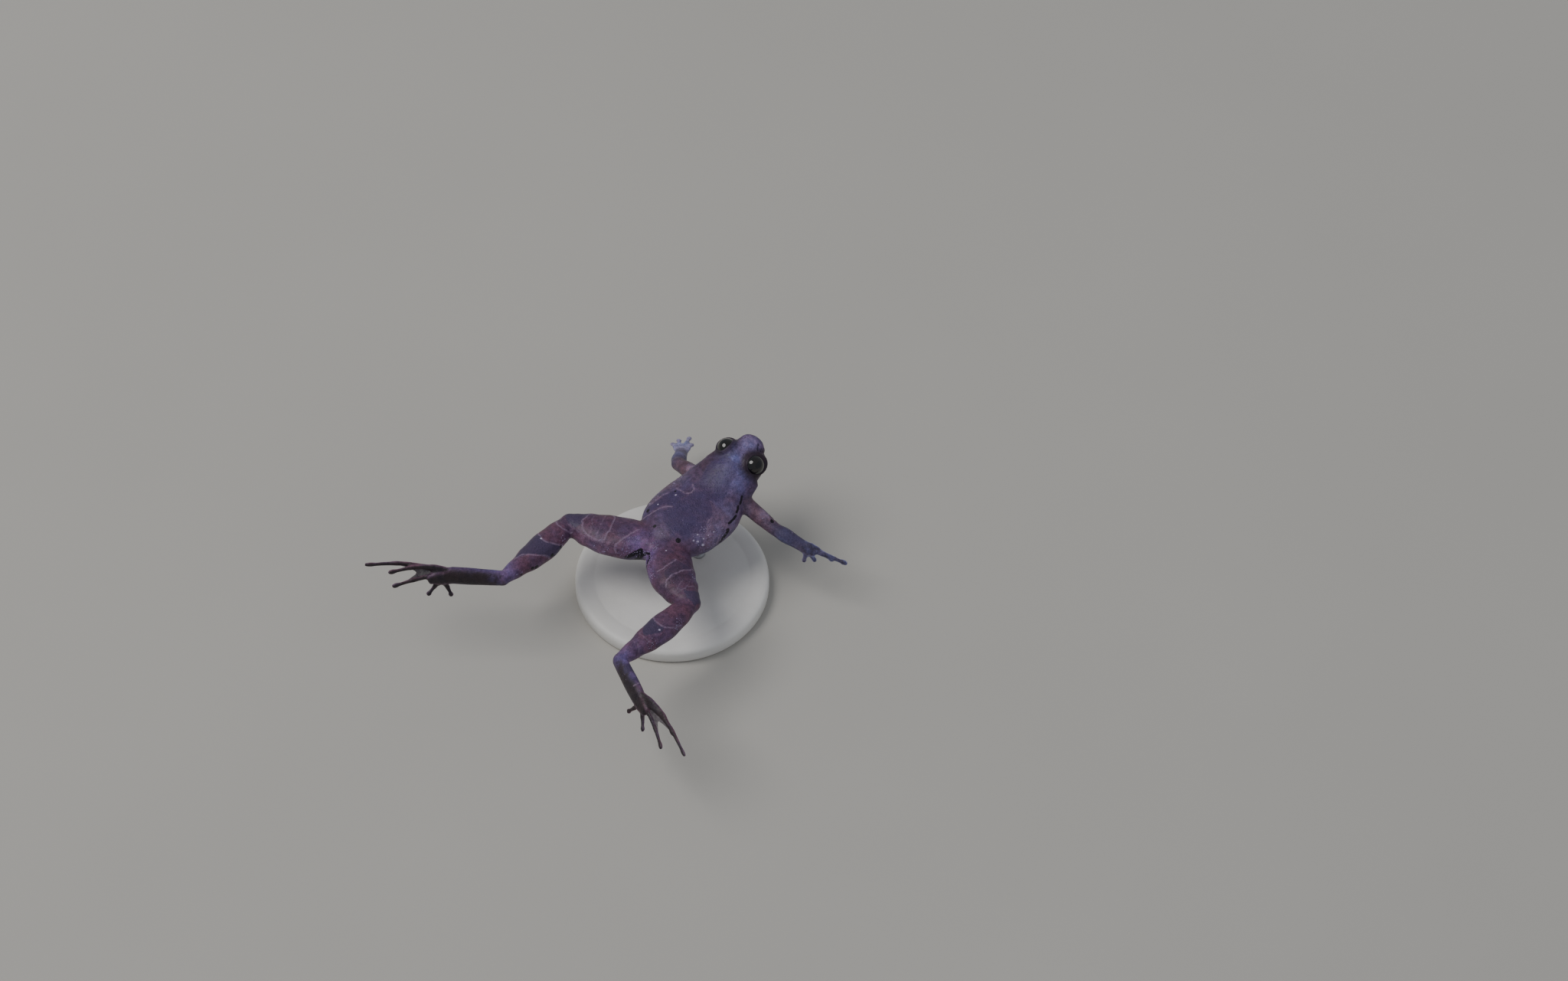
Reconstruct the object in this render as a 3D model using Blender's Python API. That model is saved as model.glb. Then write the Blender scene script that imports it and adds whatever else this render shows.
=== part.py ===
"""A still, life-size nanohyla albopunctata frog in its swimming pose, on a plain display stand.

Sizes are in millimetres and become metres as each mesh is made. +Y points to the snout, +X to the
animal's right side and +Z up. The origin is the centre of the underside of the stand's base.
"""

import bmesh
import bpy
import numpy as np

METRES = 0.001
GAP = 0.3

# Stand
BASE_RADIUS = 11.5
BASE_HEIGHT = 2.0
BASE_BEVEL = 0.4
ROD_RADIUS = 0.6
ROD_PLACES = {"front": (0.0, 4.6), "rear": (0.0, -0.8)}
ROD_TOP = 9.0

# Trunk and head, as rows of x, y, z, half width, height above and depth below the row, roll in degrees
TRUNK_ROWS = (
    (-0.25, -3.0, 9.35, 1.5, 1.1, 1.1, 0),
    (-0.3, -2.0, 9.3, 2.7, 1.6, 1.7, 0),
    (-0.4, -0.6, 9.3, 3.7, 2.1, 2.3, 0),
    (-0.6, 1.4, 9.3, 4.75, 2.5, 2.8, 0),
    (-0.6, 3.6, 9.4, 5.02, 2.65, 3.0, 1),
    (-0.35, 5.6, 9.7, 4.98, 2.6, 2.8, 2),
    (-0.4, 7.2, 10.1, 4.6, 2.45, 2.55, 3),
    (-0.4, 8.5, 10.7, 4.15, 2.3, 2.35, 5),
    (-0.27, 9.6, 11.3, 3.82, 2.2, 2.2, 7),
)
HEAD_ROWS = (
    (-0.27, 9.6, 11.3, 3.82, 2.2, 2.2, 7),
    (-0.2, 10.7, 11.85, 3.6, 2.1, 2.1, 8),
    (-0.25, 11.8, 12.35, 3.28, 1.9, 1.9, 8),
    (-0.42, 12.9, 12.8, 2.82, 1.65, 1.65, 8),
    (-0.55, 13.9, 13.15, 2.2, 1.35, 1.3, 8),
    (-0.72, 14.75, 13.4, 1.42, 0.95, 0.9, 8),
)
SNOUT_BLUNTNESS = 0.75
EYE_RADIUS = 1.22
EYE_GAP = 0.15
EYES = {"left": (-2.2, 11.94, 13.52), "right": (1.58, 12.56, 13.04)}
EYE_LOOKS = {"left": (-0.5, -0.04, 0.86), "right": (0.74, -0.02, 0.67)}
LID_SHAPE = (1.55, 1.8, 1.45)
LID_OPENING = (1.12, 0.92)
MOUTH_ANGLE = -24.0
MOUTH_RADIUS = 0.13
MOUTH_RAISE = 0.1
MOUTH_CORNER = 0.33
MOUTH_FRONT = 0.95
LIP_RADIUS = 0.26
LIP_ANGLE = 9.0
LIP_RAISE = -0.12
NOSTRIL_RADIUS = 0.19
NOSTRIL_ANGLE = 42.0
NOSTRIL_FRACTION = 0.97

# Limb joints
HIPS = {"left": (-1.6, -2.2, 9.1), "right": (0.6, -1.6, 9.2)}
KNEES = {"left": (-10.63, -6.56, 9.0), "right": (8.82, -6.15, 10.2)}
HEELS = {"left": (-10.1, -18.28, 10.0), "right": (8.58, -18.12, 10.6)}
FOOT_ROOTS = {"left": (-14.5, -22.35, 10.55), "right": (13.82, -20.63, 11.0)}
SHOULDERS = {"left": (-3.4, 8.6, 10.1), "right": (2.4, 9.3, 10.1)}
ELBOWS = {"left": (-7.88, 9.39, 8.0), "right": (7.47, 9.85, 8.4)}
WRISTS = {"left": (-9.84, 12.09, 5.9), "right": (11.25, 10.84, 7.4)}

# Toe and finger tips, from the first to the last digit
TOE_TIPS = {
    "left": ((-13.9, -23.09, 7.6), (-15.85, -25.39, 8.2), (-18.85, -28.28, 10.1),
             (-22.5, -29.15, 12.0), (-19.78, -27.93, 11.7)),
    "right": ((13.35, -21.93, 8.4), (16.99, -23.05, 8.8), (21.33, -24.38, 10.7),
              (24.8, -23.99, 12.0), (21.64, -22.59, 11.9)),
}
FINGER_TIPS = {
    "left": ((-12.52, 13.24, 4.4), (-12.58, 14.5, 3.9), (-11.98, 15.85, 3.6), (-10.58, 14.88, 4.4)),
    "right": ((12.19, 9.7, 6.1), (13.18, 10.89, 6.0), (16.4, 13.05, 6.4), (14.8, 12.34, 6.3)),
}

# Sections along a limb, as fractions of its length with half width and half height
THIGH_SECTIONS = (
    (0.0, 2.3, 1.8), (0.25, 2.8, 1.75), (0.5, 2.75, 1.65), (0.75, 2.25, 1.5), (0.9, 1.65, 1.35),
    (1.0, 1.3, 1.2),
)
SHANK_SECTIONS = (
    (0.0, 1.1, 1.05), (0.2, 1.55, 1.35), (0.4, 1.8, 1.42), (0.6, 1.6, 1.32), (0.8, 1.15, 1.08),
    (1.0, 0.82, 0.8),
)
TARSUS_SECTIONS = ((0.0, 0.95, 0.8), (0.3, 1.02, 0.82), (0.7, 1.12, 0.8), (1.0, 1.16, 0.7))
SOLE_SECTIONS = ((0.0, 1.16, 0.64), (0.5, 1.1, 0.48), (1.0, 0.75, 0.36))
TOE_SECTIONS = (
    (0.0, 0.4, 0.36), (0.5, 0.32, 0.3), (0.88, 0.26, 0.26), (0.96, 0.38, 0.26), (1.0, 0.32, 0.25),
)
ARM_SECTIONS = ((0.0, 1.1, 1.05), (0.5, 0.98, 0.95), (1.0, 0.85, 0.85))
FOREARM_SECTIONS = ((0.0, 0.8, 0.8), (0.3, 0.93, 0.85), (1.0, 0.8, 0.6))
PALM_SECTIONS = ((0.0, 0.78, 0.56), (0.6, 0.92, 0.5), (1.0, 0.7, 0.4))
FINGER_SECTIONS = (
    (0.0, 0.42, 0.36), (0.5, 0.35, 0.3), (0.84, 0.28, 0.26), (0.94, 0.38, 0.27), (1.0, 0.31, 0.25),
)

# Bends of the legs, and the feet and hands: lengths, spreads at the root, arches and webs
THIGH_BOWS = {"left": (0.05, -0.3, 0.05), "right": (-0.1, -0.7, 0.1)}
SHANK_BOWS = {"left": (0.25, 0.0, 0.0), "right": (0.18, 0.0, 0.0)}
SOLE_LENGTH = 2.6
FOOT_SPREAD = 0.7
TOE_START = 1.0
TOE_ARCH = 0.03
TOE_BOWS = (0.0, 0.0, 0.01, 0.04, 0.05)
WEB_START = 0.7
WEB_REACH = 0.62
WEB_HOLLOW = 0.75
WEB_INSET = 0.08
WEB_HALF_THICKNESS = 0.25
PALM_LENGTH = 1.3
PALM_SPREAD = 0.5
FINGER_START = 0.6
FINGER_ARCH = 0.1
DIGIT_CAP = 0.28

# Colours, as linear red, green and blue
BACK_COLOUR = (0.071, 0.053, 0.107)
LEG_COLOUR = (0.082, 0.05, 0.075)
ARM_COLOUR = (0.1, 0.075, 0.12)
FOOT_COLOUR = (0.05, 0.038, 0.06)
EYE_COLOUR = (0.012, 0.012, 0.03)
BASE_COLOUR = (0.75, 0.74, 0.71)
ROD_COLOUR = (0.6, 0.61, 0.62)
SKIN_ROUGHNESS = 0.35
EYE_ROUGHNESS = 0.05
BASE_ROUGHNESS = 0.4
ROD_ROUGHNESS = 0.3

UP = (0.0, 0.0, 1.0)
CAP_ANGLES = np.radians((60.0, 30.0))
SHARP_ANGLE = np.radians(40.0)


def unit(vector):
    vector = np.array(vector, float)
    return vector / np.linalg.norm(vector)


def smooth_rows(rows, count):
    """Rows evenly spread along a smooth curve through the given rows of x, y, z and sizes."""
    rows = np.array(rows, float)
    lengths = np.linalg.norm(np.diff(rows[:, :3], axis=0), axis=1)
    places = np.concatenate([[0.0], np.cumsum(lengths)])
    slopes = np.gradient(rows, places, axis=0)
    wanted = np.linspace(0.0, places[-1], count)
    first = np.clip(np.searchsorted(places, wanted) - 1, 0, len(rows) - 2)
    span = (places[first + 1] - places[first])[:, None]
    t = (wanted - places[first])[:, None] / span
    return (
        (2 * t**3 - 3 * t**2 + 1) * rows[first]
        + (t**3 - 2 * t**2 + t) * span * slopes[first]
        + (3 * t**2 - 2 * t**3) * rows[first + 1]
        + (t**3 - t**2) * span * slopes[first + 1]
    )


def frames_along(rows, up):
    """The direction, right side and upper side of the path at each row, turned by the row's roll."""
    along = np.gradient(rows[:, :3], axis=0)
    along /= np.linalg.norm(along, axis=1)[:, None]
    right = np.cross(along, np.array(up, float))
    right /= np.linalg.norm(right, axis=1)[:, None]
    above = np.cross(right, along)
    roll = np.radians(rows[:, 6])[:, None]
    turned_right = right * np.cos(roll) - above * np.sin(roll)
    turned_above = right * np.sin(roll) + above * np.cos(roll)
    return along, turned_right, turned_above


def surface_point(rows, up, index, degrees, grow=0.0):
    """The point of a row's ring at an angle above its right side, in degrees."""
    _, right, above = frames_along(rows, up)
    angle = np.radians(degrees)
    x, y, z, half, top, bottom, _ = rows[index]
    height = top if np.sin(angle) > 0 else bottom
    return (
        np.array([x, y, z])
        + right[index] * (half + grow) * np.cos(angle)
        + above[index] * (height + grow) * np.sin(angle)
    )


def mesh_object(name, points, faces):
    """An object in the scene from points in millimetres and faces, with its faces turned outward."""
    bm = bmesh.new()
    verts = [bm.verts.new(np.array(point) * METRES) for point in points]
    for face in faces:
        bm.faces.new([verts[i] for i in face])
    bmesh.ops.recalc_face_normals(bm, faces=bm.faces)
    mesh = bpy.data.meshes.new(name)
    bm.to_mesh(mesh)
    bm.free()
    obj = bpy.data.objects.new(name, mesh)
    bpy.context.scene.collection.objects.link(obj)
    return obj


def tube(name, rows, up=UP, sides=14, flat_start=False, flat_end=False, grow=0.0, bluntness=0.9):
    """A closed body: a flattened ring across each row, with rounded or flat ends."""
    rows = np.array(rows, float)
    rows[:, 3:6] += grow
    along, right, above = frames_along(rows, up)
    rows[0, :3] -= along[0] * grow * flat_start
    rows[-1, :3] += along[-1] * grow * flat_end
    angles = np.arange(sides) * 2 * np.pi / sides
    wide, high = np.cos(angles), np.sin(angles)
    rings = []

    def ring(index, forward=0.0, shrink=1.0):
        half, top, bottom = rows[index, 3:6] * shrink
        lift = np.where(high > 0, top, bottom) * high
        centre = rows[index, :3] + along[index] * forward
        return centre + wide[:, None] * half * right[index] + lift[:, None] * above[index]

    start_length = rows[0, 3:6].mean() * bluntness
    end_length = rows[-1, 3:6].mean() * bluntness
    if not flat_start:
        rings += [ring(0, -start_length * np.sin(a), np.cos(a)) for a in CAP_ANGLES]
    rings += [ring(i) for i in range(len(rows))]
    if not flat_end:
        rings += [ring(-1, end_length * np.sin(a), np.cos(a)) for a in CAP_ANGLES[::-1]]
    points = [point for one in rings for point in one]
    faces = []
    for i in range(len(rings) - 1):
        near, far = i * sides, (i + 1) * sides
        for j in range(sides):
            after = (j + 1) % sides
            faces.append((near + j, near + after, far + after, far + j))
    last = (len(rings) - 1) * sides
    if flat_start:
        faces.append(tuple(range(sides)))
    else:
        points.append(rows[0, :3] - along[0] * start_length)
        faces += [(len(points) - 1, (j + 1) % sides, j) for j in range(sides)]
    if flat_end:
        faces.append(tuple(last + j for j in range(sides)))
    else:
        points.append(rows[-1, :3] + along[-1] * end_length)
        faces += [(len(points) - 1, last + j, last + (j + 1) % sides) for j in range(sides)]
    return mesh_object(name, points, faces)


def limb_rows(points, sections, count):
    """Rows along a smooth curve through the points, with the sizes of the sections."""
    path = smooth_rows([(*point, 0, 0, 0, 0) for point in points], count)
    fraction = np.linspace(0.0, 1.0, count)
    at, half, height = np.array(sections, float).T
    path[:, 3] = np.interp(fraction, at, half)
    path[:, 4] = path[:, 5] = np.interp(fraction, at, height)
    return path


def ball(name, centre, radius, segments=20, rings=12, scale=(1, 1, 1), look=None, forward=UP):
    """A sphere, stretched along its axes, with Z turned along look and Y as near forward as it can be."""
    bm = bmesh.new()
    bmesh.ops.create_uvsphere(bm, u_segments=segments, v_segments=rings, radius=radius)
    points = np.array([vert.co[:] for vert in bm.verts]) * scale
    faces = [[vert.index for vert in face.verts] for face in bm.faces]
    bm.free()
    if look is not None:
        ahead = unit(look)
        side = unit(np.cross(forward, ahead))
        points = points @ np.array([side, np.cross(ahead, side), ahead])
    return mesh_object(name, points + np.array(centre), faces)


def plate(name, lines, normal, half_thickness):
    """A thin closed sheet over lines of as many points each, as a web between two toes."""
    lift = unit(normal) * half_thickness
    lines = np.array(lines)
    count, length = lines.shape[:2]
    flat = lines.reshape(-1, 3)
    under = len(flat)
    faces = []
    for i in range(count - 1):
        for j in range(length - 1):
            a, b = i * length + j, (i + 1) * length + j
            faces += [(a, b, b + 1, a + 1), (under + a, under + a + 1, under + b + 1, under + b)]
    first_line = [(j, j + 1) for j in range(length - 1)]
    last_line = [((count - 1) * length + j + 1, (count - 1) * length + j) for j in range(length - 1)]
    starts = [((i + 1) * length, i * length) for i in range(count - 1)]
    ends = [(i * length + length - 1, (i + 1) * length + length - 1) for i in range(count - 1)]
    for a, b in first_line + last_line + starts + ends:
        faces.append((a, b, under + b, under + a))
    return mesh_object(name, np.concatenate([flat + lift, flat - lift]), faces)


def keep_largest(obj):
    """Drops every closed surface but the largest."""
    bm = bmesh.new()
    bm.from_mesh(obj.data)
    left = set(bm.faces)
    pieces = []
    while left:
        piece = {left.pop()}
        border = list(piece)
        while border:
            face = border.pop()
            near = {other for edge in face.edges for other in edge.link_faces} - piece
            piece |= near
            border += near
        left -= piece
        pieces.append(piece)
    pieces.sort(key=lambda piece: sum(face.calc_area() for face in piece))
    dropped = [face for piece in pieces[:-1] for face in piece]
    if dropped:
        bmesh.ops.delete(bm, geom=dropped, context="FACES")
    bm.to_mesh(obj.data)
    bm.free()


def combine(target, others, operation):
    """Joins the others to the target, or cuts them from it, and removes them."""
    group = bpy.data.collections.new("group")
    for other in others:
        group.objects.link(other)
    modifier = target.modifiers.new("combine", "BOOLEAN")
    modifier.operation = operation
    modifier.operand_type = "COLLECTION"
    modifier.collection = group
    modifier.solver = "EXACT"
    bpy.context.view_layer.update()
    evaluated = target.evaluated_get(bpy.context.evaluated_depsgraph_get())
    mesh = bpy.data.meshes.new_from_object(evaluated)
    target.modifiers.clear()
    target.data = mesh
    for other in others:
        bpy.data.objects.remove(other)
    bpy.data.collections.remove(group)
    keep_largest(target)


def finish(obj, colour, roughness=SKIN_ROUGHNESS, metallic=0.0):
    """Smooth shading and the piece's own material."""
    obj.data.shade_smooth()
    obj.data.set_sharp_from_angle(angle=SHARP_ANGLE)
    material = bpy.data.materials.new(obj.name)
    material.use_nodes = True
    shader = material.node_tree.nodes["Principled BSDF"]
    shader.inputs["Base Color"].default_value = (*colour, 1.0)
    shader.inputs["Roughness"].default_value = roughness
    shader.inputs["Metallic"].default_value = metallic
    obj.data.materials.clear()
    obj.data.materials.append(material)


def torso(grow=0.0):
    rows = smooth_rows(TRUNK_ROWS, 15)
    return tube("torso", rows, sides=22, flat_end=True, grow=grow)


def head_rows():
    """The head's rows, starting a gap ahead of the flat end of the trunk."""
    rows = smooth_rows(HEAD_ROWS, 13)
    along, _, _ = frames_along(rows, UP)
    rows[0, :3] += along[0] * GAP
    return rows


def skull(grow=0.0):
    return tube("head", head_rows(), sides=24, flat_start=True, grow=grow, bluntness=SNOUT_BLUNTNESS)


def mouth_line(rows, degrees, radius, grow):
    """Rows of a thin cord laid along the mouth, from one corner round the snout to the other."""
    first = int(MOUTH_CORNER * len(rows))
    right = [surface_point(rows, UP, i, degrees, grow) for i in range(first, len(rows))]
    left = [surface_point(rows, UP, i, 180 - degrees, grow) for i in range(first, len(rows))]
    along, _, above = frames_along(rows, UP)
    snout = rows[-1, :3] + along[-1] * (rows[-1, 3:6].mean() * MOUTH_FRONT * SNOUT_BLUNTNESS + grow)
    snout = snout + above[-1] * rows[-1, 5] * np.sin(np.radians(degrees))
    line = right + [snout] + left[::-1]
    return smooth_rows([(*point, radius, radius, radius, 0) for point in line], len(line) + 5)


def head():
    """The skull with its lids and lips joined on, then the sockets, mouth and nostrils cut in."""
    rows = head_rows()
    whole = skull()
    added = []
    cutters = []
    along, _, above = frames_along(rows, UP)
    middle = len(rows) // 2
    wide, high = LID_OPENING
    for side in ("left", "right"):
        centre = np.array(EYES[side])
        look = unit(EYE_LOOKS[side])
        added.append(ball("lid", centre, 1.0, scale=LID_SHAPE, forward=along[middle], look=above[middle]))
        cutters.append(ball("socket", centre, EYE_RADIUS + EYE_GAP))
        hole = centre + look * EYE_RADIUS
        cutters.append(ball("opening", hole, 1.0, scale=(wide, high, EYE_RADIUS), look=look))
    for offset in (LIP_ANGLE, -LIP_ANGLE):
        line = mouth_line(rows, MOUTH_ANGLE + offset, LIP_RADIUS, LIP_RAISE)
        added.append(tube("lip", line, sides=6))
    line = mouth_line(rows, MOUTH_ANGLE, MOUTH_RADIUS, MOUTH_RAISE)
    cutters.append(tube("mouth", line, sides=5))
    index = int(NOSTRIL_FRACTION * (len(rows) - 1))
    for angle in (NOSTRIL_ANGLE, 180 - NOSTRIL_ANGLE):
        cutters.append(ball("nostril", surface_point(rows, UP, index, angle), NOSTRIL_RADIUS, 10, 6))
    combine(whole, added, "UNION")
    combine(whole, cutters, "DIFFERENCE")
    finish(whole, BACK_COLOUR)


def eye(side):
    whole = ball(f"eye_{side}", EYES[side], EYE_RADIUS, look=EYE_LOOKS[side])
    finish(whole, EYE_COLOUR, EYE_ROUGHNESS)


def thigh(side, grow=0.0):
    hip, knee = np.array(HIPS[side]), np.array(KNEES[side])
    rows = limb_rows((hip, (hip + knee) / 2 + THIGH_BOWS[side], knee), THIGH_SECTIONS, 11)
    return tube(f"thigh_{side}", rows, grow=grow)


def shank(side, grow=0.0):
    knee, heel = np.array(KNEES[side]), np.array(HEELS[side])
    rows = limb_rows((knee, (knee + heel) / 2 + SHANK_BOWS[side], heel), SHANK_SECTIONS, 11)
    return tube(f"shank_{side}", rows, grow=grow)


def foot_normal(side):
    """The upper face of the foot, across the plane of its toes."""
    root = np.array(FOOT_ROOTS[side])
    first, fourth = np.array(TOE_TIPS[side][0]), np.array(TOE_TIPS[side][3])
    normal = unit(np.cross(fourth - root, first - root))
    return normal if normal[1] > 0 else -normal


def tarsus(side, grow=0.0):
    heel, root = np.array(HEELS[side]), np.array(FOOT_ROOTS[side])
    rows = limb_rows((heel, (heel + root) / 2, root), TARSUS_SECTIONS, 7)
    return tube(f"tarsus_{side}", rows, up=foot_normal(side), sides=12, flat_end=True, grow=grow)


def digit_path(root, start, tip, bend):
    """A digit's path from inside the hand or foot through its start to its tip, bent on the way."""
    end = tip - unit(tip - start) * DIGIT_CAP
    return [root, start, start + (end - start) * 0.5 + bend, end]


def spread_at_root(tips, root, normal, axis, width):
    """Steps from the root to each digit's start, side by side from the first digit to the last."""
    across = unit(np.cross(normal, axis))
    if (tips[0] - root) @ across < 0:
        across = -across
    middle = (len(tips) - 1) / 2
    return across, [across * width * (middle - i) / middle for i in range(len(tips))]


def web(root, toes, normal):
    """The sheet between two toes, hollowed at its free edge."""
    distances = [np.linalg.norm(rows[:, :3] - root, axis=1) for rows in toes]
    reach = WEB_REACH * min(distance[-1] for distance in distances)
    wanted = np.linspace(WEB_START, reach, 4)
    edges = []
    for rows, distance in zip(toes, distances):
        edges.append(np.array([np.interp(wanted, distance, rows[:, k]) for k in range(3)]).T)
    middle = (edges[0] + edges[1]) / 2
    hollow = middle[0] + (middle - middle[0]) * WEB_HOLLOW
    inset = [unit(other - edge) * WEB_INSET for edge, other in (edges, edges[::-1])]
    return plate("web", (edges[0] + inset[0], hollow, edges[1] + inset[1]), normal, WEB_HALF_THICKNESS)


def foot(side):
    root = np.array(FOOT_ROOTS[side])
    tips = [np.array(tip) for tip in TOE_TIPS[side]]
    normal = foot_normal(side)
    axis = unit(tips[3] - root)
    across, spreads = spread_at_root(tips, root, normal, axis, FOOT_SPREAD)
    toes = []
    pieces = []
    for tip, spread, bow in zip(tips, spreads, TOE_BOWS):
        bend = (normal * TOE_ARCH - across * bow) * np.linalg.norm(tip - root)
        path = digit_path(root + axis * GAP + spread / 2, root + axis * TOE_START + spread, tip, bend)
        toes.append(limb_rows(path, TOE_SECTIONS, 12))
        pieces.append(tube("toe", toes[-1], up=normal, sides=8, bluntness=1.0))
    pieces += [web(root, pair, normal) for pair in zip(toes, toes[1:])]
    toward = unit(tips[2] - root)
    path = (root - toward * GAP, root + toward * SOLE_LENGTH / 2, root + toward * SOLE_LENGTH)
    sole = tube(f"foot_{side}", limb_rows(path, SOLE_SECTIONS, 5), up=normal, sides=12)
    combine(sole, pieces, "UNION")
    return sole


def upper_arm(side, grow=0.0):
    rows = limb_rows((SHOULDERS[side], ELBOWS[side]), ARM_SECTIONS, 6)
    return tube(f"upper_arm_{side}", rows, sides=12, grow=grow)


def forearm(side, grow=0.0):
    rows = limb_rows((ELBOWS[side], WRISTS[side]), FOREARM_SECTIONS, 7)
    return tube(f"forearm_{side}", rows, sides=12, grow=grow)


def hand(side):
    root = np.array(WRISTS[side])
    tips = [np.array(tip) for tip in FINGER_TIPS[side]]
    normal = unit(np.cross(tips[3] - root, tips[0] - root))
    toward = unit((tips[1] + tips[2]) / 2 - root)
    _, spreads = spread_at_root(tips, root, normal, toward, PALM_SPREAD)
    pieces = []
    for tip, spread in zip(tips, spreads):
        start = root + toward * FINGER_START + spread
        path = digit_path(root + toward * GAP + spread / 2, start, tip, normal * FINGER_ARCH)
        rows = limb_rows(path, FINGER_SECTIONS, 9)
        pieces.append(tube("finger", rows, up=normal, sides=8, bluntness=1.0))
    path = (root - toward * GAP, root + toward * PALM_LENGTH / 2, root + toward * PALM_LENGTH)
    palm = tube(f"hand_{side}", limb_rows(path, PALM_SECTIONS, 5), up=normal, sides=12)
    combine(palm, pieces, "UNION")
    return palm


def stand():
    """A round base with a rounded edge, and two rods cut to the curve of the belly above them."""
    bm = bmesh.new()
    bmesh.ops.create_cone(
        bm, cap_ends=True, segments=48, radius1=BASE_RADIUS * METRES, radius2=BASE_RADIUS * METRES,
        depth=BASE_HEIGHT * METRES,
    )
    mesh = bpy.data.meshes.new("stand_base")
    bm.to_mesh(mesh)
    bm.free()
    base = bpy.data.objects.new("stand_base", mesh)
    base.location = (0, 0, BASE_HEIGHT / 2 * METRES)
    bpy.context.scene.collection.objects.link(base)
    bevel = base.modifiers.new("edge", "BEVEL")
    bevel.width = BASE_BEVEL * METRES
    bevel.segments = 2
    bevel.limit_method = "ANGLE"
    finish(base, BASE_COLOUR, BASE_ROUGHNESS)
    for place, (x, y) in ROD_PLACES.items():
        rows = [(x, y, z, ROD_RADIUS, ROD_RADIUS, ROD_RADIUS, 0) for z in (BASE_HEIGHT + GAP, ROD_TOP)]
        rod = tube(f"stand_rod_{place}", rows, up=(0, 1, 0), sides=16, flat_start=True, flat_end=True)
        combine(rod, [torso(GAP)], "DIFFERENCE")
        finish(rod, ROD_COLOUR, ROD_ROUGHNESS, 1.0)


def build():
    for obj in list(bpy.data.objects):
        bpy.data.objects.remove(obj)
    finish(torso(), BACK_COLOUR)
    head()
    for side in ("left", "right"):
        eye(side)
        chain = (
            (thigh, torso, LEG_COLOUR),
            (shank, thigh, LEG_COLOUR),
            (tarsus, shank, LEG_COLOUR),
            (foot, tarsus, FOOT_COLOUR),
            (upper_arm, torso, ARM_COLOUR),
            (forearm, upper_arm, ARM_COLOUR),
            (hand, forearm, ARM_COLOUR),
        )
        for piece, root, colour in chain:
            cutters = [root(GAP) if root is torso else root(side, GAP)]
            if piece is upper_arm:
                cutters.append(skull(GAP))
            for cutter in cutters:
                cutter.name = "cutter"
            made = piece(side)
            combine(made, cutters, "DIFFERENCE")
            finish(made, colour)
    stand()


build()
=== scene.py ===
"""A tiny narrow-mouthed frog, nanohyla albopunctata, swimming: its skin, eyes, webs and display stand.

Lengths in the lists below are in millimetres and angles in degrees. +Y points to the snout, +X to the
animal's right side and +Z up, and the origin is the centre of the underside of the stand's base.
"""

import bmesh
import bpy
import numpy as np
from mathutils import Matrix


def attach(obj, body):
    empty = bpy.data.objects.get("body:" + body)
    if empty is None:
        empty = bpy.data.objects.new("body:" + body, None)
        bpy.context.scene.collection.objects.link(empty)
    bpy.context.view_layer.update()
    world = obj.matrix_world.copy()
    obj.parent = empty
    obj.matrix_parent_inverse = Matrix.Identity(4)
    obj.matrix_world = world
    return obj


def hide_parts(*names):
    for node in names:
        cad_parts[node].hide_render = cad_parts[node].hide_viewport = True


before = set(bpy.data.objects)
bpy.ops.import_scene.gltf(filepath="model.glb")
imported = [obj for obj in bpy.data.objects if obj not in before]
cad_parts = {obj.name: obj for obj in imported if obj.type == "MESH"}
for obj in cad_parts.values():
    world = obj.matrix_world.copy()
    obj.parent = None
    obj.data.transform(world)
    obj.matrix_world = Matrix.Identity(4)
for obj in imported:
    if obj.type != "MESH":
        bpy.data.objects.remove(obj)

MM = 0.001
UP = (0.0, 0.0, 1.0)
SIDES = ("left", "right")

# Trunk and head: x, y, z, half width, height above and depth below the row, roll
BODY_ROWS = (
    (-0.25, -3.0, 9.35, 1.5, 1.1, 1.1, 0),
    (-0.3, -2.0, 9.3, 2.7, 1.6, 1.7, 0),
    (-0.4, -0.6, 9.3, 3.7, 2.1, 2.3, 0),
    (-0.6, 1.4, 9.3, 4.75, 2.5, 2.8, 0),
    (-0.6, 3.6, 9.4, 5.02, 2.65, 3.0, 1),
    (-0.35, 5.6, 9.7, 4.98, 2.6, 2.8, 2),
    (-0.4, 7.2, 10.1, 4.6, 2.45, 2.55, 3),
    (-0.4, 8.5, 10.7, 4.15, 2.3, 2.35, 5),
    (-0.27, 9.6, 11.3, 3.82, 2.2, 2.2, 7),
    (-0.2, 10.7, 11.85, 3.6, 2.1, 2.1, 8),
    (-0.25, 11.8, 12.35, 3.28, 1.9, 1.9, 8),
    (-0.42, 12.9, 12.8, 2.82, 1.65, 1.65, 8),
    (-0.55, 13.9, 13.15, 2.2, 1.35, 1.3, 8),
    (-0.72, 14.75, 13.4, 1.42, 0.95, 0.9, 8),
)
BODY_RINGS = 90
BODY_SIDES = 64
SNOUT_BLUNTNESS = 0.75

# Eyes: centre, direction of the gaze, the lid's bulge round them, the place along the trunk whose
# directions the bulges follow, and the slight rise of the ball's front
EYE_RADIUS = 1.22
EYES = {"left": (-2.2, 11.94, 13.52), "right": (1.58, 12.56, 13.04)}
EYE_LOOKS = {"left": (-0.5, -0.04, 0.86), "right": (0.74, -0.02, 0.67)}
LID_SHAPE = (1.5, 1.75, 1.42)
LID_REACH = {"left": (68.0, 54.0), "right": (76.0, 72.0)}
LID_THICKNESS = 0.13
LID_SPREAD = 0.75
LID_ALONG = 0.84
LID_RINGS = 18
LID_SIDES = 28
EYE_RINGS = 60
EYE_SIDES = 72
EYE_FRONT_RISE = 0.035
EYE_FRONT_REACH = 32.0

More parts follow.
